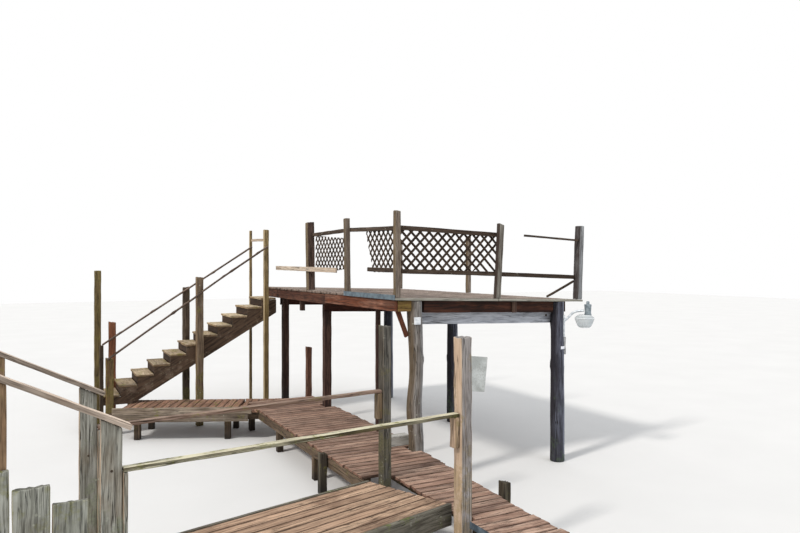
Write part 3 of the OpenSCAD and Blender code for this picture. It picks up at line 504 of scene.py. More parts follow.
class Heap:
    """Shells that will be one piece; coat is the number of the next shell's finish."""

    def __init__(self):
        self.points, self.corners, self.sizes, self.uvs, self.coats = [], [], [], [], []
        self.marks = {"tone": [], "end": [], "edge": []}
        self.coat = 0
        self.count = 0

    def shell(self, rows, uv, tone, end, edge=None):
        """Adds a closed shell.

        rows is (R, T, 3); uv is (R, T + 1, 2), one column more because the loop closes;
        end is (R,), 1 on a sawn end; edge is (T,), 1 on a long edge. The signed volume, a
        sixth of the sum of each face's first corner dotted with the cross product of its
        other two, tells inside from outside, and a shell that comes out negative is
        turned over.
        """
        r, t = rows.shape[:2]
        points = np.concatenate([rows.reshape(-1, 3),
                                 [rows[0].mean(axis=0), rows[-1].mean(axis=0)]])
        quads, quad_uv, fans, fan_uv = faces_of(rows, uv)
        p = points[quads] - points.mean(axis=0)
        if np.einsum("ij,ij->i", p[:, 0], np.cross(p[:, 1], p[:, 2])).sum() < 0:
            quads, quad_uv = quads[:, ::-1], quad_uv[:, ::-1]
            fans, fan_uv = fans[:, ::-1], fan_uv[:, ::-1]
        edge = np.zeros(t) if edge is None else edge
        self.points.append(points)
        self.corners += [quads.ravel() + self.count, fans.ravel() + self.count]
        self.sizes += [np.full(len(quads), 4), np.full(len(fans), 3)]
        self.uvs += [quad_uv.reshape(-1, 2), fan_uv.reshape(-1, 2)]
        self.coats.append(np.full(len(quads) + len(fans), self.coat))
        self.marks["tone"].append(np.full(len(points), tone))
        self.marks["end"].append(np.concatenate([np.repeat(end, t), [end[0], end[-1]]]))
        self.marks["edge"].append(np.concatenate([np.tile(edge, r), [0, 0]]))
        self.count += len(points)

    def mesh(self, name):
        """The shells as one mesh, with the UV map grain and an attribute for each mark."""
        points, corners, sizes = (np.concatenate(part)
                                  for part in (self.points, self.corners, self.sizes))
        mesh = bpy.data.meshes.new(name)
        mesh.vertices.add(len(points))
        mesh.vertices.foreach_set("co", points.astype(np.float32).ravel())
        mesh.loops.add(len(corners))
        mesh.loops.foreach_set("vertex_index", corners.astype(np.int32))
        mesh.polygons.add(len(sizes))
        starts = np.concatenate([[0], np.cumsum(sizes)[:-1]])
        mesh.polygons.foreach_set("loop_start", starts.astype(np.int32))
        mesh.update(calc_edges=True)
        layer = mesh.uv_layers.new(name="grain")
        layer.data.foreach_set("uv", np.concatenate(self.uvs).astype(np.float32).ravel())
        for label, values in self.marks.items():
            attribute = mesh.attributes.new(label, "FLOAT", "POINT")
            attribute.data.foreach_set("value", np.concatenate(values).astype(np.float32))
        mesh.polygons.foreach_set("use_smooth", np.ones(len(sizes), bool))
        mesh.validate()
        mesh.set_sharp_from_angle(angle=SHARP)
        return mesh

    def piece(self, name, finishes, slot, nodes=(), crisp=False):
        """The heap as one object that rides with the jetty and stands for the nodes.

        Each shell wears the finish whose number coat was when it was added. crisp weighs
        each normal by the area of its faces, so that broad faces stay flat and only the
        worn edges look round.
        """
        mesh = self.mesh(name)
        for finish in finishes:
            mesh.materials.append(FINISHES[finish])
        mesh.polygons.foreach_set("material_index", np.concatenate(self.coats).astype(np.int32))
        thing = bpy.data.objects.new(name, mesh)
        bpy.context.scene.collection.objects.link(thing)
        if crisp:
            thing.modifiers.new("flat faces", "WEIGHTED_NORMAL").keep_sharp = True
        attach(thing, "root")
        if nodes:
            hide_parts(*nodes)
        TALLY.append(int((np.concatenate(self.sizes) - 2).sum()))
        print(f"{name}: {TALLY[-1]} triangles")


# %% [markdown]
# Wear is uneven, but it changes slowly over a surface. A sum of a few sines with random
# paces gives such a field, and sines that fit a whole number of times round a timber
# meet themselves without a seam.

# %% Chance
# A full turn in radians, near enough for a phase and for a way round a pile
FULL_TURN = 6.28


def dice(name):
    """A generator whose seed is made from the piece's name, so each run is the same."""
    return np.random.default_rng(zlib.crc32(name.encode()))


def waves(rng, along, around, count, fastest, turns):
    """A smooth field from 0 to 1: the sum of count sines over the square root of count.

    along is in any unit, around goes once from 0 to 1 and meets itself.
    """
    field = np.zeros(np.broadcast(along, around).shape)
    for _ in range(count):
        pace = rng.uniform(0.3, fastest)
        turn = rng.integers(0, turns + 1) * rng.choice([-1, 1])
        phase = rng.uniform(0, FULL_TURN)
        field = field + np.sin(2 * np.pi * (pace * along + turn * around) + phase)
    return np.clip(0.5 + 0.5 * field / math.sqrt(count), 0, 1)


def opened(s, start, span, flat):
    """How far a split is open at s: flat - ((s - its middle) / (span / 2)) ** 2, 0 to 1."""
    return np.clip(flat - ((s - start - span / 2) / (span / 2)) ** 2, 0, 1)


print("first throw of the piles' dice", round(dice("corner_pile").uniform(), 3))

# %% [markdown]
# The frame's solids tell where each timber is. A node's mesh is loose triangles, so its
# corners are welded first, and then its solids are told apart: every point takes the
# lowest label among its triangle's corners until no label changes.

# %% Reading the solids
# Points that round to the same hundredth of a millimetre are one point
WELDS_PER_METRE = 1e5


def solids_of(node):
    """The welded points and triangles of each loose solid, in a steady order."""
    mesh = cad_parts[node].data
    points = np.empty(len(mesh.vertices) * 3)
    mesh.vertices.foreach_get("co", points)
    grid, place = np.unique(np.round(points.reshape(-1, 3) * WELDS_PER_METRE).astype(np.int64),
                            axis=0, return_inverse=True)
    tris = np.empty(len(mesh.polygons) * 3, dtype=np.int32)
    mesh.polygons.foreach_get("vertices", tris)
    tris = place.ravel()[tris].reshape(-1, 3)
    label = np.arange(len(grid))
    while True:
        low = label[tris].min(axis=1)
        fresh = label.copy()
        for corner in range(3):
            np.minimum.at(fresh, tris[:, corner], low)
        if np.array_equal(fresh, label):
            break
        label = fresh
    found = []
    for name in np.unique(label[tris[:, 0]]):
        own = tris[label[tris[:, 0]] == name]
        used, local = np.unique(own, return_inverse=True)
        found.append((grid[used] / WELDS_PER_METRE, local.reshape(-1, 3)))
    return found


def points_of(node):
    """The points alone of each loose solid."""
    return [points for points, tris in solids_of(node)]


def corners_of(node):
    """The low and the high corner of a node's box, as arrays."""
    return [np.array(corner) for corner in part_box(node)]


print("solids in the boardwalk's node", len(points_of("walk_boards")))

# %% [markdown]
# Each timber is read as a straight block: the longest sharp edge is the grain, the widest
# edge across it is the width, and each of the four long edges has its own start and end,
# which keeps every slanted cut.

# %% Straight blocks
# Two triangles lie in one face where the dot product of their normals is at least this
SAME_FACE = 0.999
# An edge runs across where its share along the grain is less than this
ACROSS = 0.3
BLOCK_POINTS = 8
# How near a point lies to the long edge that it ends
CORNER_REACH = 0.002
CORNERS = ((0, 0), (1, 0), (1, 1), (0, 1))


def sharp_edges(points, tris):
    """Every edge whose two faces differ in direction, as vectors."""
    normals = np.cross(points[tris[:, 1]] - points[tris[:, 0]],
                       points[tris[:, 2]] - points[tris[:, 0]])
    normals /= np.linalg.norm(normals, axis=1, keepdims=True) + 1e-12
    edges = np.sort(np.concatenate([tris[:, [0, 1]], tris[:, [1, 2]], tris[:, [2, 0]]]), axis=1)
    owner = np.tile(np.arange(len(tris)), 3)
    order = np.lexsort((edges[:, 1], edges[:, 0]))
    edges, owner = edges[order], owner[order]
    turn = np.einsum("ij,ij->i", normals[owner[0::2]], normals[owner[1::2]])
    pairs = edges[0::2][turn < SAME_FACE]
    return points[pairs[:, 1]] - points[pairs[:, 0]]


class Block:
    """A straight timber: three axes, its section, and where each long edge starts and ends."""

    def __init__(self, axes, low, high, starts, ends):
        self.axes = axes
        self.low, self.high = low, high
        self.starts, self.ends = starts, ends
        self.length = float((ends - starts).mean())

    def reach(self, x, y):
        """Where the timber starts and ends at x, y from the middle of its section.

        Each is the sum of the four long edges' own, weighed by how near each edge is.
        """
        width, depth = self.high - self.low
        u, v = np.clip(x / width + 0.5, 0, 1), np.clip(y / depth + 0.5, 0, 1)
        weights = [(1 - u) * (1 - v), u * (1 - v), u * v, (1 - u) * v]
        return [sum(w * e for w, e in zip(weights, side)) for side in (self.starts, self.ends)]


def block_of(points, tris):
    """The block that a solid fills, or None where it isn't one."""
    if len(points) > BLOCK_POINTS:
        return None
    edges = sharp_edges(points, tris)
    lengths = np.linalg.norm(edges, axis=1)
    a = edges[lengths.argmax()] / lengths.max()
    off = edges - np.outer(edges @ a, a)
    across = np.where(np.abs(edges @ a) < ACROSS * lengths, np.linalg.norm(off, axis=1), 0)
    b = off[across.argmax()] / np.linalg.norm(off[across.argmax()])
    axes = np.stack([a, b, np.cross(a, b)])
    q = points @ axes.T
    low, high = q[:, 1:].min(axis=0), q[:, 1:].max(axis=0)
    starts, ends = [], []
    for pick in CORNERS:
        near = np.abs(q[:, 1:] - np.where(pick, high, low)).max(axis=1) < CORNER_REACH
        if near.sum() < 2:
            return None
        starts.append(q[near, 0].min())
        ends.append(q[near, 0].max())
    return Block(axes, low, high, np.array(starts), np.array(ends))


print("a tall post is", round(block_of(*solids_of("tall_posts")[0]).length, 2), "m long")

# %% [markdown]
# A worn timber is a function of two numbers: s along the grain and t round the section.
# The section is a rectangle whose corners are rounded by a radius that swells and
# shrinks with s, because edges wear unevenly. The faces sink a little with a slow wave,
# and a check is a narrow groove that opens and closes along s.

# %% A timber's section
SPLIT_HALF = 0.003


def loop_of(width, depth, edge, spacing, splits):
    """Points round a sharp rectangle, their distances round it, and the whole way round.

    Each side has evenly spaced points between its corners, one in each corner's
    rounding, and three across every split that is clear of the corners.
    """
    spots, walked = [], 0.0
    for side, length in enumerate((width, depth, width, depth)):
        inner = np.linspace(edge, length - edge, max(2, int(round(length / spacing)) + 1))
        own = [[0, edge * 0.35], inner, [length - edge * 0.35]]
        own += [np.array([-SPLIT_HALF, 0.0, SPLIT_HALF]) + p - walked for p in splits
                if walked + 2 * edge < p < walked + length - 2 * edge]
        own = np.unique(np.round(np.concatenate(own), 5))
        spots.append(np.stack([np.full(len(own), side), own, own + walked], -1))
        walked += length
    side, run, distance = np.concatenate(spots).T
    sides = [side == 0, side == 1, side == 2]
    x = np.select(sides, [run, width + 0 * run, width - run], 0 * run)
    y = np.select(sides, [0 * run, run, depth + 0 * run], depth - run)
    return x - width / 2, y - depth / 2, distance, walked


print("an 89 mm post's section has", len(loop_of(0.089, 0.089, 0.009, 0.035, [])[0]), "points")

# %% [markdown]
# Each row of a worn timber is that section, rounded, sunk and moved. The rows lie close
# together at either end, where the rounding of the ends needs them.

# %% A worn timber
RIM_WIDTH = 0.014
# Rings close to either end, in metres from it, which carry the rounding of the ends
LIPS = np.array([0.0, 0.004, 0.012])


def worn_timber(heap, block, rng, step, edge, wear, bow, checks, ragged, spacing=0.035,
                curl=0.0):
    """Adds a worn timber that fills a block.

    A point lies at core + out * (radius(s) - sink(s, t)), where core is the nearest
    point of the section less its rounding, out the way from there to the sharp section,
    and sink is wear * waves, plus each split, plus the rounding of the ends. edge is the
    radius of the corners, bow how far it bends, checks how many splits it has, ragged
    how uneven its ends are, and curl how far the ends lift.
    """
    width, depth = block.high - block.low
    edge = min(edge, 0.35 * min(width, depth))
    splits = [rng.uniform(0, 2 * (width + depth)) for _ in range(checks)]
    x, y, distance, girth = loop_of(width, depth, edge, spacing, splits)
    inner = np.linspace(0, 1, max(3, int(round(block.length / step)) + 1))
    lips = LIPS / max(block.length, 0.05)
    s = np.unique(np.concatenate([lips, inner[1:-1], 1 - lips]))[:, None]
    t = (distance / girth)[None, :]

    radius = edge * (0.45 + 1.1 * waves(rng, s * block.length, 0 * t, 5, 2.5, 0))
    radius = np.minimum(radius, 0.45 * min(width, depth))
    core_x = np.clip(x, -width / 2 + radius, width / 2 - radius)
    core_y = np.clip(y, -depth / 2 + radius, depth / 2 - radius)
    out_x, out_y = x - core_x, y - core_y
    reach = np.hypot(out_x, out_y) + 1e-9
    sink = wear * waves(rng, s * block.length, t, 7, 3.0, 5)
    for p in splits:
        narrow = np.clip(1 - np.abs(distance[None, :] - p) / SPLIT_HALF, 0, 1)
        start, span = rng.uniform(-0.3, 0.7), rng.uniform(0.3, 1.0)
        sink = sink + narrow * opened(s, start, span, 1.3) * rng.uniform(0.003, 0.007)
    from_end = np.minimum(s, 1 - s) * block.length
    sink = sink + edge * 0.5 * np.clip(1 - from_end / 0.008, 0, 1) ** 2
    bend = np.sin(np.pi * s) * bow
    px = core_x + out_x / reach * (radius - sink) + bend * rng.uniform(-1, 1)
    py = core_y + out_y / reach * (radius - sink)
    lift = bend * rng.uniform(-1, 1) + curl * (2 * s - 1) ** 2

    first, last = block.reach(px, py)
    first = first + ragged * waves(rng, 0 * s, t, 5, 1.0, 9)
    last = last - ragged * waves(rng, 0 * s, t, 5, 1.0, 9)
    along = first * (1 - s) + last * s
    middle = (block.low + block.high) / 2
    rows = np.stack([along, px + middle[0], py + lift + middle[1]], -1)
    shift = rng.uniform(0, 40, 2)
    grain = np.stack(np.broadcast_arrays(
        np.concatenate([along, along[:, :1]], axis=1) + shift[0],
        (np.append(distance, girth) + shift[1])[None, :]), -1)
    rows, grain, ends = capped(rows, grain, lambda ring: ring[:, 1:] + shift)
    long_edges = np.cumsum([0, width, depth, width, depth])
    off = np.abs(distance[:, None] - long_edges).min(axis=1)
    heap.shell(rows @ block.axes, grain, rng.uniform(0, 1), ends,
               np.clip(1 - off / RIM_WIDTH, 0, 1))


print("an end is rounded over", round(1000 * LIPS[-1]), "mm")

# %% [markdown]
# Most nodes are nothing but timbers, so one table says how each node's timbers have
# worn. The numbers differ with what the piece is: posts split and lean, boards curl at
# their ends, sheets hardly wear.

# %% How each timber has worn
POST = {"step": 0.09, "edge": 0.009, "wear": 0.0025, "bow": 0.003, "checks": 3, "ragged": 0.005}
BOARD = {"step": 0.12, "edge": 0.006, "wear": 0.0025, "bow": 0.002, "checks": 1,
         "ragged": 0.010, "curl": 0.001}
BEAM = {"step": 0.12, "edge": 0.006, "wear": 0.002, "bow": 0.002, "checks": 2, "ragged": 0.003}
RAIL = {"step": 0.08, "edge": 0.007, "wear": 0.003, "bow": 0.003, "checks": 2, "ragged": 0.006,
        "spacing": 0.02}
SQUARE = {**RAIL, "edge": 0.004}
SHEET = {"step": 0.10, "edge": 0.0015, "wear": 0.0004, "bow": 0.001, "checks": 0, "ragged": 0.001}
SPLIT = {"step": 0.06, "edge": 0.010, "wear": 0.004, "bow": 0.003, "checks": 6, "ragged": 0.012,
         "spacing": 0.022}
# Each node: how it has worn, its finish, and a slot name. Where solids differ in colour
# there are as many finishes as solids, in order of X. The deck's boards have two, the
# second for the boards at its near edge.
DRESS = {
    "bank_props": (POST, "prop", "dark_post"),
    "grey_cross_board": (BEAM, "silver", "grey_board"),
    "red_cross_boards": (BEAM, "red", "red_timber"),
    "rim_joists": (BEAM, "rim_red", "red_timber"),
    "bank_fascia": (BEAM, ("fascia", "fascia_back"), "red_timber"),
    "joists": (BEAM, "red", "red_timber"),
    "deck_boards": (BOARD, ("deck", "deck_edge"), "deck_board"),
    "edge_strips": (SHEET, ("strip_dark", "strip"), "edge_metal"),
    "deck_blocks": (POST, ("block", "block_dark", "block_dark"), "yellow_block"),
    "knee_brace": (RAIL, "fascia", "red_timber"),
    "bank_guard_posts": (POST, ("guard", "guard", "heavy"), "grey_post"),
    "near_guard_posts": (POST, ("guard_leaf_shaded", "guard_dark"), "grey_post"),
    "water_guard_posts": (POST, "guard", "grey_post"),
    "top_rails": (RAIL, "rail", "dark_rail"),
    "lower_rails": (RAIL, "rail", "dark_rail"),
    "pale_rail": (RAIL, "bleached", "pale_plank"),
    "guard_brace": (RAIL, "rail", "dark_rail"),
    "stair_treads": (SPLIT, ("tread",) * 7 + ("tread_high",) * 4, "mossy_tread"),
    "stair_risers": (BEAM, "riser", "stair_timber"),
    "stair_foot_posts": (SPLIT, ("newel_far", "newel_in_shade", "newel", "newel_red"),
                         "mossy_post"),
    "stair_mid_posts": (SPLIT, ("mid_far", "mid_post"), "grey_post"),
    "stair_top_posts": (POST, "top_post", "mossy_post"),
    "walk_boards": (BOARD, "walk", "walk_board"),
    "arm_boards": (BOARD, "arm", "walk_board"),
    "walk_bearers": (BEAM, "bearer", "walk_timber"),
    "arm_edge_boards": (BEAM, "arm_edge", "walk_timber"),
    "walk_posts": (POST, "bearer", "walk_timber"),
    "walk_stubs": (SPLIT, ("stub", "stub", "stub_red"), "mossy_post"),
    "walk_sleeper": (SPLIT, "sleeper", "grey_board"),
    "tall_posts": (SPLIT, ("tall_far", "tall"), "grey_post"),
    "post_plate": (SHEET, "plate", "white_plastic"),
    "landing_deck": (BOARD, "landing", "walk_board"),
    "landing_sides": (BEAM, "landing_side", "walk_timber"),
    "landing_posts": (POST, "bearer", "walk_timber"),
    "level_rails": (SQUARE, ("level_far", "level"), "mossy_rail"),
    "rail_cleats": (RAIL, ("cleat_far", "cleat"), "mossy_rail"),
    "station_planks": (SPLIT, "station", "pale_plank"),
    "slope_handrails": (SQUARE, "handrail", "pale_plank"),
    "slope_posts": (POST, "slope_post", "grey_post"),
    "bank_planks": (SPLIT, "bank_plank", "mossy_post"),
    "switch_box": (SHEET, "box", "white_plastic"),
}

print(len(DRESS), "nodes in the table")

# %% [markdown]
# Each node's solids are read, worn and put into one heap, which stands for the node. A
# board that is cut to a point isn't a block, and goes in as it is.

# %% Dressing the timbers
# A board whose far side is this near to the deck's near edge lies along it
EDGE_BOARD = 0.16
# The way that the arm's boards lie, in the flat, for the grain of its cut board
ARM_GRAIN = (0.42, 0.9)


def plain_solid(heap, points, rng):
    """A flat board that isn't a block, as it is cut to a point, kept as it is.

    It goes in as a closed fan of loops: the outline of its top, then the same outline at
    its foot, each with a half-size loop inside it.
    """
    top = points[points[:, 2] > points[:, 2].mean()]
    centre = top.mean(axis=0)
    top = top[np.argsort(np.arctan2(top[:, 1] - centre[1], top[:, 0] - centre[0]))]
    drop = np.array([0, 0, np.ptp(points[:, 2])])
    small = centre + (top - centre) * 0.5
    rows = np.stack([small, top, top - drop, small - drop])
    x, y, z = np.moveaxis(np.concatenate([rows, rows[:, :1]], axis=1), -1, 0)
    p, q = ARM_GRAIN
    heap.shell(rows, np.stack([y * q + x * p, x * q - y * p + z], -1), rng.uniform(0, 1),
               np.zeros(4))


def coat_of(node, number, points):
    """A solid's finish: its own number, or 1 on the deck's bleached edge boards, else 0."""
    if node == "deck_boards":
        return int(points[:, 1].max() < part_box(node)[0][1] + EDGE_BOARD)
    return number


for node, (worn, finish, slot) in DRESS.items():
    heap, rng = Heap(), dice(node)
    for number, (points, tris) in enumerate(solids_of(node)):
        heap.coat = coat_of(node, number, points) if isinstance(finish, tuple) else 0
        block = block_of(points, tris)
        if block:
            worn_timber(heap, block, rng, **worn)
        else:
            plain_solid(heap, points, rng)
    finishes = finish if isinstance(finish, tuple) else (finish,)
    heap.piece(node + "_worn", finishes, slot, [node], crisp=True)

# %% [markdown]
# Piles, the log and the stair's poles are round. Their surface is a function of s along
# the middle line and the angle round it: the radius is the CAD solid's, less shallow
# flutes that wander, less a few narrow checks, with a swelling and a dent at each knot.

# %% Round timber
# A check's half width in turns, and its depth as a share of the radius
CHECK_HALF, CHECK_DEEP = 0.008, 0.10
# A knot's swelling, its dent, and the dent's width, each as a share of the knot's size
KNOT_SWELL, KNOT_DENT, KNOT_EYE = 0.35, 0.25, 0.3
# How much an end is rounded over, and how far in from it that begins
END_ROUND, END_REACH = 0.006, 0.01


def square_to(way):
    """Two directions square to a way and to each other."""
    b = np.cross(way, [0, 0, 1.0]) if abs(way[2]) < 0.9 else np.array([1.0, 0, 0])
    b = b - (b @ way) * way
    b /= np.linalg.norm(b)
    return b, np.cross(way, b)


def round_gap(t, p):
    """How far t is from p, both in turns, the short way round."""
    return (t - p + 0.5) % 1 - 0.5


def trunk(heap, centres, radii, rng, columns, flute, checks, knots, ragged=0.004):
    """Adds round timber along a middle line.

    r(s, a) = radius(s) * (1 - flute * waves(s, a)) - checks + knots; each ring lies square
    to the straight line between the two ends.
    """
    whole = centres[-1] - centres[0]
    length = np.linalg.norm(whole)
    a = whole / length
    b, c = square_to(a)
    run = (centres - centres[0]) @ a
    s = (run / length)[:, None]
    splits = rng.uniform(0, 1, checks)
    t = [np.linspace(0, 1, columns, endpoint=False)]
    t += [(p + np.array([-CHECK_HALF, 0, CHECK_HALF])) % 1 for p in splits]
    t = np.unique(np.concatenate(t))[None, :]
    radius = radii[:, None] * (1 - flute * waves(rng, s * length, t, 9, 1.6, 6))
    for p in splits:
        narrow = np.clip(1 - np.abs(round_gap(t, p)) / CHECK_HALF, 0, 1)
        start, span = rng.uniform(-0.2, 0.8), rng.uniform(0.25, 0.8)
        radius = radius - narrow * opened(s, start, span, 1.2) * radii[:, None] * CHECK_DEEP
    for _ in range(knots):
        at, turn, size = rng.uniform(0.1, 0.9), rng.uniform(0, 1), rng.uniform(0.03, 0.06)
        around = round_gap(t, turn) * FULL_TURN * radii[:, None]
        far = ((s - at) * length) ** 2 + around ** 2
        radius = radius + KNOT_SWELL * size * np.exp(-far / size ** 2)
        radius = radius - KNOT_DENT * size * np.exp(-far / (KNOT_EYE * size) ** 2)
    from_end = np.minimum(s, 1 - s) * length
    radius = radius - END_ROUND * np.clip(1 - from_end / END_REACH, 0, 1)
    angle = 2 * np.pi * t[..., None]
    rows = centres[:, None, :] + radius[..., None] * (np.cos(angle) * b + np.sin(angle) * c)
    for end, inward in ((0, a), (-1, -a)):
        rows[end] += inward * (ragged * waves(rng, 0 * t, t, 5, 1.0, 7)[0])[:, None]
    shift = rng.uniform(0, 40, 2)
    around = np.append(t[0], 1.0 + t[0, 0]) * 2 * np.pi * float(radii.mean())
    uv = np.stack(np.broadcast_arrays(run[:, None] + shift[0], around[None, :] + shift[1]), -1)
    rows, uv, ends = capped(
        rows, uv, lambda ring: (ring - ring.mean(axis=0)) @ np.stack([b, c], -1) + shift)
    heap.shell(rows, uv, rng.uniform(0, 1), ends)


print("a check takes", 2 * CHECK_HALF, "of the way round")

# %% [markdown]
# A straight pile or pole is read from its solid: its longest direction is the middle
# line, and the points near either end give that end's middle and radius.

# %% Piles and poles
RING_STEP = 0.07
NEAR_END = 0.01
# Distances from either end of the rings that carry the end's rounding
TRUNK_LIPS = np.array([0.0, 0.006, 0.014])
# A bow goes square to the rod and to a direction that no rod has, in this many half waves
ASKEW, HALF_WAVES = (0.3, 0.5, 0.8), 1.7


def rod_of(points):
    """The two ends and radii of a straight round solid, from its longest direction."""
    middle = points.mean(axis=0)
    a = np.linalg.svd(points - middle, full_matrices=False)[2][0]
    run = (points - middle) @ a
    ends, radii = [], []
    for near in (run < run.min() + NEAR_END, run > run.max() - NEAR_END):
        centre = points[near].mean(axis=0)
        spread = points[near] - centre
        spread -= np.outer(spread @ a, a)
        ends.append(centre)
        radii.append(np.linalg.norm(spread, axis=1).max())
    return ends, radii


def straight_trunk(heap, points, rng, bow=0.0, **looks):
    """A trunk from one end of a rod to the other, with a slow bow to one side.

    centre(s) = start + s * (end - start) + side * bow * sin(pi * s * HALF_WAVES).
    """
    (start, end), (low, high) = rod_of(points)
    length = np.linalg.norm(end - start)
    lips = TRUNK_LIPS / length
    inner = np.linspace(0, 1, int(length / RING_STEP) + 2)[1:-1]
    s = np.unique(np.concatenate([lips, inner, 1 - lips]))
    side = np.cross((end - start) / length, ASKEW)
    sway = np.sin(np.pi * s * HALF_WAVES) * bow
    centres = start + np.outer(s, end - start) + np.outer(sway, side)
    trunk(heap, centres, low + (high - low) * s, rng, **looks)


for node in ("corner_pile", "far_piles"):
    heap, rng = Heap(), dice(node)
    for points in points_of(node):
        straight_trunk(heap, points, rng, columns=56, flute=0.035, checks=7, knots=5)
    heap.piece(node + "_worn", ["pile"], "round_pile", [node])

heap, rng = Heap(), dice("poles")
for points in points_of("stair_handrails"):
    straight_trunk(heap, points, rng, columns=20, flute=0.12, checks=1, knots=3, bow=0.008,
                   ragged=0.01)
heap.piece("stair_handrails_worn", ["pole"], "pole_wood", ["stair_handrails"])

# %% [markdown]
# The log is a natural trunk: it leans one way and then the other, thickens at its knots,
# and has lost its bark. The CAD solid gives rings at a few heights, and a smooth curve
# runs through their middles.

# %% The crooked log
LOG_STEP = 0.05
LOG_LIP = 0.01
SAME_LEVEL = 0.002
SMOOTHED_OVER = 7


def eased(places, levels, values):
    """The values at each place, joined by straight lines and averaged over neighbours."""
    line = np.pad(np.interp(places, levels, values), SMOOTHED_OVER // 2, mode="edge")
    return np.convolve(line, np.ones(SMOOTHED_OVER) / SMOOTHED_OVER, mode="valid")


points = np.concatenate(points_of("corner_log"))
levels = np.unique(np.round(points[:, 2], 3))
rings = [points[np.abs(points[:, 2] - level) < SAME_LEVEL] for level in levels]
middles = np.array([ring.mean(axis=0) for ring in rings])
girths = np.array([np.linalg.norm((ring - middle)[:, :2], axis=1).max()
                   for ring, middle in zip(rings, middles)])
foot, head = levels[0], levels[-1]
heights = np.unique(np.concatenate([
    [foot, foot + LOG_LIP], np.arange(foot + LOG_STEP, head - 3 * LOG_LIP, LOG_STEP),
    [head - LOG_LIP, head]]))
centres = np.stack([eased(heights, levels, middles[:, 0]), eased(heights, levels, middles[:, 1]),
                    heights], -1)
heap, rng = Heap(), dice("log")
trunk(heap, centres, eased(heights, levels, girths), rng, columns=56, flute=0.06, checks=5,
      knots=5, ragged=0.008)
heap.piece("corner_log_worn", ["log"], "log", ["corner_log"])

# %% [markdown]
# Lattice is two layers of laths, one leaning each way, stapled where they cross. Each
# lath is a strip across the panel's outline: a strip's two long edges are cut where they
# meet the outline, which leaves the broken panels with the same ragged edge as the CAD.

# %% Laths
LATH_PITCH = 0.110
LATH_WIDTH = 0.038
LATHS_EACH_WAY = 24
SHORTEST_LATH = 0.02
LATH = {"step": 0.12, "edge": 0.002, "wear": 0.001, "bow": 0.001, "checks": 0, "ragged": 0.006,
        "spacing": 0.04}


def crossings(outline, way, level):
    """Where the line at this level across the laths meets the outline, along the laths."""
    across = np.array([-way[1], way[0]])
    depth, run = outline @ across - level, outline @ way
    depth_next, run_next = np.roll(depth, -1), np.roll(run, -1)
    hit = (depth > 0) != (depth_next > 0)
    share = depth[hit] / (depth[hit] - depth_next[hit])
    return np.sort(run[hit] + share * (run_next[hit] - run[hit]))


def lattice(heap, rng, outlines, middle, origin, right, up, thick):
    """Laths both ways, each layer inside its outline, given in the panel's own plane.

    Lath i lies i * LATH_PITCH across from the panel's middle, with its edges half a width
    to either side. Where the two meet the outline a different number of times, at a
    notch, the cuts of its middle line serve for both.
    """
    out = np.cross(right, up)
    for layer, turn in ((0, 45), (1, -45)):
        outline = np.array(outlines[layer])
        way = np.array([-math.sin(math.radians(turn)), math.cos(math.radians(turn))])
        across = np.array([-way[1], way[0]])
        axes = np.stack([way[0] * right + way[1] * up, across[0] * right + across[1] * up, out])
        base = axes @ origin
        depth = np.array([layer * thick / 2, (layer + 1) * thick / 2]) + base[2]
        for i in range(-LATHS_EACH_WAY, LATHS_EACH_WAY + 1):
            level = middle @ across + i * LATH_PITCH
            edges = [level + side * LATH_WIDTH / 2 for side in (-1, 1)]
            cuts = [crossings(outline, way, edge) for edge in edges]
            if len(cuts[0]) != len(cuts[1]):
                cuts = [crossings(outline, way, sum(edges) / 2)] * 2
            for k in range(0, len(cuts[0]) - 1, 2):
                starts, ends = (np.array([cuts[edge][k + end] for edge in (0, 1, 1, 0)]) + base[0]
                                for end in (0, 1))
                if (ends - starts).min() >= SHORTEST_LATH:
                    low, high = (np.array([edge + base[1], deep])
                                 for edge, deep in zip(edges, depth))
                    worn_timber(heap, Block(axes, low, high, starts, ends), rng, **LATH)


print("laths lie", round(1000 * (LATH_PITCH - LATH_WIDTH)), "mm apart")

# %% [markdown]
# Both panels hang from rails that drop towards their far post, and have lost laths there.
# Their outlines repeat the ones of the CAD: points as shares of the bay and of the
# panel's height.

# %% The two lattice panels
LATTICE_LIFT = 0.052
PANEL_DROP = 0.060
GUARD_BAY = 1.83
PANEL_H = 0.68
LIP = 0.015
# The near panel's second layer is torn off past this much of its foot, up to this point
TORN_FOOT, TORN_SIDE = 0.68, (0.97, 0.45)
BROKEN = [(0.07, 0.02), (0.5, 0.02), (0.53, 0.35), (0.58, 0.6), (0.64, 1.05), (0, 1.03), (0, 0.9),
          (0.05, 0.6)]
SAGGED = [(0.04, 0.1), (0.35, 0.04), (0.65, 0.12), (0.9, 0.1), (0.9, 1.05), (0.6, 0.97),
          (0.04, 0.87)]

X, Y, Z = np.eye(3)
low, high = corners_of("near_lattice")
heap, rng = Heap(), dice("near_lattice")
width = high[0] - low[0]
whole = [(0, LIP), (width, LIP - PANEL_DROP), (width, PANEL_H - PANEL_DROP), (0, PANEL_H)]
torn = [whole[0], (TORN_FOOT * width, LIP - TORN_FOOT * PANEL_DROP),
        (TORN_SIDE[0] * width, TORN_SIDE[1] * PANEL_H), *whole[2:]]
panel_z = low[2] + PANEL_DROP
lattice(heap, rng, (whole, torn), np.array([width / 2, PANEL_H / 2 + LATTICE_LIFT]),
        np.array([low[0], high[1], panel_z]), X, Z, high[1] - low[1])
heap.piece("near_lattice_worn", ["lattice"], "lattice_wood", ["near_lattice"])

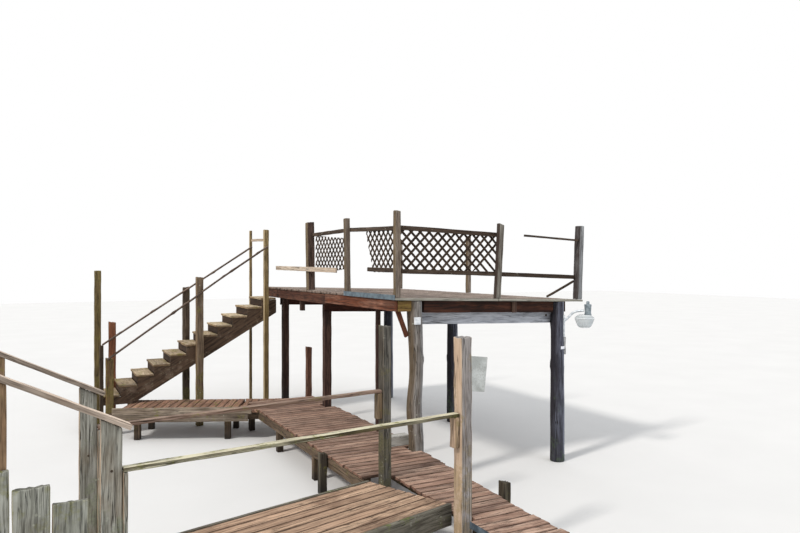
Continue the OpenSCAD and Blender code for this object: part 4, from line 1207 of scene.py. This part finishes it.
heap, rng = Heap(), dice("bank_lattice")
panels = sorted(points_of("bank_lattice"), key=lambda points: points[:, 1].min())
for points, outline in zip(panels, (BROKEN, SAGGED)):
    start = points[:, 1].min() - min(x for x, y in outline) * GUARD_BAY
    shape = [(x * GUARD_BAY, y * PANEL_H) for x, y in outline]
    lattice(heap, rng, (shape, shape), np.array([GUARD_BAY / 2, PANEL_H / 2 + LATTICE_LIFT]),
            np.array([points[:, 0].min(), start, panel_z]), Y, Z, np.ptp(points[:, 0]))
heap.piece("bank_lattice_worn", ["lattice"], "lattice_wood", ["bank_lattice"])

# %% [markdown]
# The stringers keep their CAD solids, because a sawn sawtooth has the right shape
# already. They have no UV map, so their finish takes the grain along the stair's slope
# from Object coordinates.

# %% The stringers' finish
def sloped_wood(name, slope, deep, body, pale, lichen):
    """Grain that runs uphill: Object coordinates turned about Y by the stair's slope."""
    f = Finish(name)
    place = f.here()
    turned = f.node("ShaderNodeMapping", None, {"Vector": place, "Rotation": (0, slope, 0)})
    long, longer = (f.node("ShaderNodeMapping", None, {"Vector": turned, "Scale": scale})
                    for scale in ((2.5, 30, 38), (2, 90, 120)))
    grain = f.noise(long, 1.0, 5.0, 0.65)
    fine = f.noise(longer, 1.0, 3.0)
    blotch = f.noise(place, 4.0, 4.0, 0.6)
    dots = f.node("ShaderNodeTexVoronoi", None, {"Vector": place, "Scale": 24.0})
    colour = f.mix(grain.step(0.3, 0.62), paint(deep), paint(body))
    colour = f.mix(blotch.step(0.5, 0.68) * 0.6, colour, paint(pale))
    colour = f.shade(colour, 1.05 - 0.4 * fine.step(0.5, 0.75))
    colour = f.mix(dots.step(0.3, 0.15) * blotch.step(0.45, 0.6) * 0.6, colour, paint(lichen))
    f.set(Base_Color=colour, Roughness=0.92 - fine * 0.1, Specular_IOR_Level=DULL)
    f.bump(grain + fine * 0.5, 0.004)


low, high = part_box("stair_stringers")
stair_slope = math.atan2(high[2] - low[2], high[0] - low[0])
sloped_wood("stringer", stair_slope, "#2e231b", "#584638", "#7b6a5c", "#8d8b74")
stringer_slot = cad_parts["stair_stringers"].material_slots[0]
stringer_slot.link = "OBJECT"
stringer_slot.material = FINISHES["stringer"]
print("stringers slope", round(math.degrees(stair_slope), 1), "degrees")

# %% [markdown]
# The lamp is a yard light: a flange and a bent arm on the pile, a cast neck with its
# light switch on top, and a ribbed clear bowl open below. The bowl is turned, so its rows
# are circles whose radius follows a list of heights. It is one wall, down its outside and
# up its inside, with 36 ribs. Two thin rings lie on it, and each is a small circle turned
# round the same axis; their near-white finish is a painted highlight along the bowl's
# widest edge and near its top.

# %% The lamp's bowl
# Levels below the top and the bowl's radius there, both as shares
BOWL = [(0.0, 0.60), (0.02, 0.66), (0.12, 0.83), (0.22, 0.97), (0.256, 1.0), (0.29, 0.985),
        (0.40, 0.95), (0.55, 0.88), (0.70, 0.80), (0.82, 0.72), (0.91, 0.63), (0.97, 0.52),
        (1.0, 0.40)]
WALL = 0.004
# The profile starts and ends on a small circle in the middle of the flat top
TOP_R = 0.02
# Each rim's level and radius, both as shares, then its wire's radius and how far in it lies
RIMS = ((0.256, 1.0), (0.03, 0.68))
RIM_R, RIM_IN = 0.0045, 0.005


def lathe(heap, profile, centre, rng, columns=48, ribs=0, rib=0.0):
    """Turns a profile of (radius, height) round an upright axis.

    r(a) = radius * (1 - rib * (1 + cos(ribs * a)) / 2), which scallops its circles.
    """
    profile = np.array(profile)
    angle = np.linspace(0, 2 * np.pi, columns, endpoint=False)[None, :]
    radius = profile[:, :1] * (1 - rib * (0.5 + 0.5 * np.cos(ribs * angle)))
    rows = np.stack([radius * np.cos(angle) + centre[0], radius * np.sin(angle) + centre[1],
                     profile[:, 1:] + 0 * angle], -1)
    run = np.concatenate([[0], np.cumsum(np.linalg.norm(np.diff(profile, axis=0), axis=1))])
    around = np.linspace(0, 2 * np.pi * profile[:, 0].max(), columns + 1)
    uv = np.stack(np.broadcast_arrays(run[:, None], around[None, :]), -1)
    heap.shell(rows, uv, rng.uniform(0, 1), np.zeros(len(rows)))


low, high = corners_of("lamp_bowl")
middle = (low + high) / 2
bowl_r, bowl_h, top = (high[0] - low[0]) / 2, high[2] - low[2], high[2]
outer = [(r * bowl_r, top - bowl_h * level) for level, r in BOWL]
inner = [(r * bowl_r - WALL, top - WALL - (bowl_h - WALL) * level * 0.998)
         for level, r in BOWL[::-1]]
heap, rng = Heap(), dice("bowl")
lathe(heap, [(TOP_R, top)] + outer + inner[:-1] + [(TOP_R, top - WALL)], middle, rng,
      columns=144, ribs=36, rib=0.035)
# The rings wear the near-white rim finish, a painted highlight on the bowl's edge and top
heap.coat = 1
for level, share in RIMS:
    turn = np.linspace(0, 2 * np.pi, 13)
    lathe(heap, np.stack([bowl_r * share - RIM_IN + RIM_R * np.cos(turn),
                          top - bowl_h * level + RIM_R * np.sin(turn)], -1),
          middle, rng, columns=96)
heap.piece("lamp_bowl_ribbed", ["bowl", "rim"], "lamp_clear", ["lamp_bowl"])

# %% [markdown]
# The hood is one turned profile: a collar over the bowl, a drum that widens upwards, a
# flat shoulder, and the round light switch on top.

# %% The lamp's hood
# The hood's radius and its height above the foot, both as shares
HOOD = [(0.1, 0), (0.9, 0), (1, 0.01), (1, 0.05), (0.90, 0.07), (0.86, 0.12), (0.88, 0.30),
        (0.92, 0.50), (0.96, 0.66), (0.99, 0.68), (0.99, 0.75), (0.93, 0.77), (0.50, 0.775),
        (0.44, 0.79), (0.45, 0.86), (0.42, 0.96), (0.30, 1.0), (0.06, 1.0)]
low, high = corners_of("lamp_hood")
hood_middle = (low + high) / 2
hood_r, hood_h = (high[0] - low[0]) / 2, high[2] - low[2]
heap, rng = Heap(), dice("hood")
lathe(heap, [(r * hood_r, low[2] + z * hood_h) for r, z in HOOD], hood_middle, rng, columns=64,
      ribs=16, rib=0.02)
heap.piece("lamp_hood_cast", ["hood"], "lamp_metal", ["lamp_hood"])

# %% [markdown]
# The arm leaves its flange low, climbs in an S and runs level into the hood. A few points
# along it are joined and smoothed, and a circle is carried along them, thicker at the
# flange as a casting is.

# %% The lamp's arm
FITTING = {"step": 0.03, "wear": 0.0005, "bow": 0, "checks": 0, "ragged": 0}
ARM_R = 0.021
ARM_RINGS = 40
# A point farther than this from the arm's plane is the flange's
FLANGE_FROM = 0.03
# How far both ends of the arm are moved out, into the flange and into the hood
ARM_SHIFT = 0.004
# How far below the flange's top the arm leaves it, and how much lower its first end is
FOOT_DROP, END_DROP = 0.075, 0.01
# How far out from the flange's face and how high up the climb each bend lies
ARM_BENDS = ((0.03, 0.0), (0.08, 0.3), (0.15, 0.79), (0.23, 0.95))


def bent_tube(heap, path, radii, rng, columns=20):
    """Carries a circle along a path in one upright plane; each ring is square to the path."""
    way = np.gradient(path, axis=0)
    way /= np.linalg.norm(way, axis=1, keepdims=True)
    side = np.cross(path[-1] - path[0], Z)
    side = side / np.linalg.norm(side) if np.linalg.norm(side) > 1e-6 else X
    other = np.cross(way, side)
    angle = np.linspace(0, 2 * np.pi, columns, endpoint=False)
    rows = path[:, None] + radii[:, None, None] * (
        np.cos(angle)[None, :, None] * side + np.sin(angle)[None, :, None] * other[:, None])
    uv = np.stack(np.broadcast_arrays(np.linspace(0, 1, len(path))[:, None],
                                      np.linspace(0, 0.2, columns + 1)[None, :]), -1)
    heap.shell(rows, uv, rng.uniform(0, 1), np.zeros(len(path)))


heap, rng = Heap(), dice("arm")
points = np.concatenate(points_of("lamp_arm"))
out = hood_middle * [1, 1, 0]
out /= np.linalg.norm(out)
side = np.cross(out, Z)
leg = points[np.abs(points @ side) > FLANGE_FROM]
start_r, end_r = (leg @ out).min(), (points @ out).max()
leg_low, leg_high = leg[:, 2].min(), leg[:, 2].max()
top_z, foot_z = points[:, 2].max() - ARM_R, leg_high - FOOT_DROP
bends = [(start_r + ARM_SHIFT, foot_z - END_DROP)]
bends += [(start_r + run, foot_z + share * (top_z - foot_z)) for run, share in ARM_BENDS]
bends = np.array(bends + [(end_r + ARM_SHIFT, top_z)])
knots = np.arange(len(bends))
places = np.linspace(0, knots[-1], ARM_RINGS)
path = np.outer(eased(places, knots, bends[:, 0]), out) + np.outer(
    eased(places, knots, bends[:, 1]), Z)
# Thicker by a third at the flange, by a bell curve that is over a fifth of the way along
swell = 0.35 * np.exp(-((np.linspace(0, 1, ARM_RINGS) - 0.02) / 0.12) ** 2)
bent_tube(heap, path, ARM_R * (0.97 + swell), rng)
flange = Block(np.stack([Z, side, out]), np.array([(leg @ side).min(), start_r]),
               np.array([(leg @ side).max(), (leg @ out).max()]), np.full(4, leg_low),
               np.full(4, leg_high))
worn_timber(heap, flange, rng, **FITTING, edge=0.004, spacing=0.02)
heap.piece("lamp_arm_cast", ["alloy"], "lamp_metal", ["lamp_arm"])

# %% [markdown]
# The conduit runs down the pile: a thin tube that sways a little, and its clips, which
# are small blocks.

# %% The lamp's conduit
CONDUIT_RINGS = 30
# How far the tube sways, and the angle in radians that its sway runs through
CONDUIT_SWAY, SWAY_ANGLE = 0.003, 9

heap, rng = Heap(), dice("conduit")
for points, tris in solids_of("lamp_conduit"):
    block = block_of(points, tris)
    heap.coat = 1 if block else 0
    if block:
        worn_timber(heap, block, rng, **{**FITTING, "wear": 0.0004}, edge=0.002, spacing=0.015)
    else:
        (start, end), (radius, _) = rod_of(points)
        share = np.linspace(0, 1, CONDUIT_RINGS)[:, None]
        line = start + share * (end - start) + CONDUIT_SWAY * np.sin(share * SWAY_ANGLE) * out
        bent_tube(heap, line, np.full(CONDUIT_RINGS, radius), rng, columns=16)
heap.piece("lamp_conduit_grey", ["conduit", "clip"], "lamp_metal", ["lamp_conduit"])

# %% [markdown]
# Nails and bolts are small but they show where one timber is fixed to the next. Each is
# a low dome with eight or twelve sides, so that hundreds of nails stay light.

# %% Nails
NAIL_FROM_END, NAIL_STRAY = 0.09, 0.01
NAIL_OFF_MIDDLE = 0.035
NAIL_R, NAIL_HIGH = 0.0045, 0.0012
# Radius and height of a dome's rings, both as shares
DOME = ((0.5, -0.6), (1.0, -0.5), (1.0, 0.2), (0.75, 0.8), (0.3, 1.0))


def stud(heap, centre, normal, radius, height, rng, columns=12):
    """A low dome: circles that shrink as they rise, square to the face it is driven into."""
    b, c = square_to(normal)
    angle = np.linspace(0, 2 * np.pi, columns, endpoint=False)[:, None]
    circle = np.cos(angle) * b + np.sin(angle) * c
    rows = np.stack([centre + normal * h * height + circle * radius * r for r, h in DOME])
    heap.shell(rows, np.zeros((len(DOME), columns + 1, 2)), rng.uniform(0, 1),
               np.zeros(len(DOME)))


heap, rng = Heap(), dice("nails")
for node in ("walk_boards", "landing_deck", "deck_boards", "arm_boards"):
    for block in filter(None, (block_of(*solid) for solid in solids_of(node))):
        # The number of the axis that stands upright, and of the one across the board
        upright, across = (2, 1) if abs(block.axes[2, 2]) > abs(block.axes[1, 2]) else (1, 2)
        flip = math.copysign(1, block.axes[upright, 2])
        face = np.append(0, (block.low + block.high) / 2)
        face[upright] += flip * (block.high - block.low)[upright - 1] / 2
        for at in (block.starts.max() + NAIL_FROM_END, block.ends.min() - NAIL_FROM_END):
            for shift in (-NAIL_OFF_MIDDLE, NAIL_OFF_MIDDLE):
                spot = face.copy()
                spot[0] = at + rng.uniform(-NAIL_STRAY, NAIL_STRAY)
                spot[across] += shift
                stud(heap, spot @ block.axes, flip * block.axes[upright], NAIL_R, NAIL_HIGH, rng,
                     columns=8)
heap.piece("board_nails", ["bolt"], "lamp_metal")

# %% [markdown]
# The grey cross board has a large bolt near the corner and a smaller one at its far end.
# The wide planks of the approach have a bolt each on the side that faces the camera.

# %% Bolts
# How far the planks' faces are turned from -Y towards +X
FACING = math.radians(5.8)
WIDE_PLANK = 0.12
# How far below a plank's top its bolt sits, past NEAR_PAIR towards the camera and before it
NEAR_PAIR = 1.5
NEAR_DROP, FAR_DROP = 0.42, 0.69

heap, rng = Heap(), dice("bolts")
low, high = corners_of("grey_cross_board")
level = (low[2] + high[2]) / 2
stud(heap, np.array([-0.15, low[1], level]), -Y, 0.020, 0.010, rng)
stud(heap, np.array([low[0] + 0.09, low[1], level + 0.02]), -Y, 0.012, 0.006, rng)
near = np.array([math.sin(FACING), -math.cos(FACING), 0])
for points, tris in solids_of("station_planks"):
    block = block_of(points, tris)
    if block and (block.high - block.low).max() > WIDE_PLANK:
        spot = points.mean(axis=0)
        spot = spot + near * ((points @ near).max() - spot @ near)
        spot[2] = points[:, 2].max() - (NEAR_DROP if spot @ near > NEAR_PAIR else FAR_DROP)
        stud(heap, spot, near, 0.011, 0.003, rng)
heap.piece("frame_bolts", ["bolt"], "lamp_metal")
print("triangles in all", sum(TALLY))

# %% [markdown]
# The jetty stands on a plain pale floor under soft light: a low sun through thin cloud
# from the left, and an even sky. The background is white for the camera, and for what
# metal and plastic reflect, but it lights the jetty only three quarters as strongly.

# %% Floor, sky and sun
FLOOR_HALF = 60.0
SKY_STRENGTH = 0.75
WHITE = (1, 1, 1, 1)

floor_mesh = bpy.data.meshes.new("floor")
floor_mesh.from_pydata([(x * FLOOR_HALF, y * FLOOR_HALF, 0)
                        for x, y in ((-1, -1), (1, -1), (1, 1), (-1, 1))], [], [(0, 1, 2, 3)])
f = Finish("floor")
f.set(Base_Color=f.mix(f.noise(f.here(), 0.6, 3.0), paint("#d8d9da"), paint("#e1e2e3")),
      Roughness=0.9)
floor_mesh.materials.append(f.owner)
floor = bpy.data.objects.new("floor", floor_mesh)
bpy.context.scene.collection.objects.link(floor)

sky = Finish("sky", bpy.data.worlds.new("sky"))
paths = sky.node("ShaderNodeLightPath").socket.node
camera_ray, glossy_ray, clear_ray = (Wire(sky, paths.outputs[f"Is {kind} Ray"])
                                     for kind in ("Camera", "Glossy", "Transmission"))
seen = camera_ray.or_more(glossy_ray).or_more(clear_ray)
sky.set(Color=WHITE, Strength=seen * (1 - SKY_STRENGTH) + SKY_STRENGTH)
bpy.context.scene.world = sky.owner
bpy.context.scene.view_settings.view_transform = "Standard"


def soft_sun(name, energy, angle, height, heading, tint):
    """A sun as wide as thin cloud makes it, so shadows have soft edges."""
    light = bpy.data.lights.new(name, "SUN")
    light.energy = energy
    light.angle = math.radians(angle)
    light.color = tint
    lamp = bpy.data.objects.new(name, light)
    lamp.rotation_euler = (math.radians(90 - height), 0, math.radians(heading))
    bpy.context.scene.collection.objects.link(lamp)
    print(name, "stands", height, "degrees up")


soft_sun("sun", 2.2, 7, 42, -75, (1.0, 0.95, 0.88))
soft_sun("fill", 0.5, 40, 35, 20, (0.92, 0.96, 1.0))

# %% [markdown]
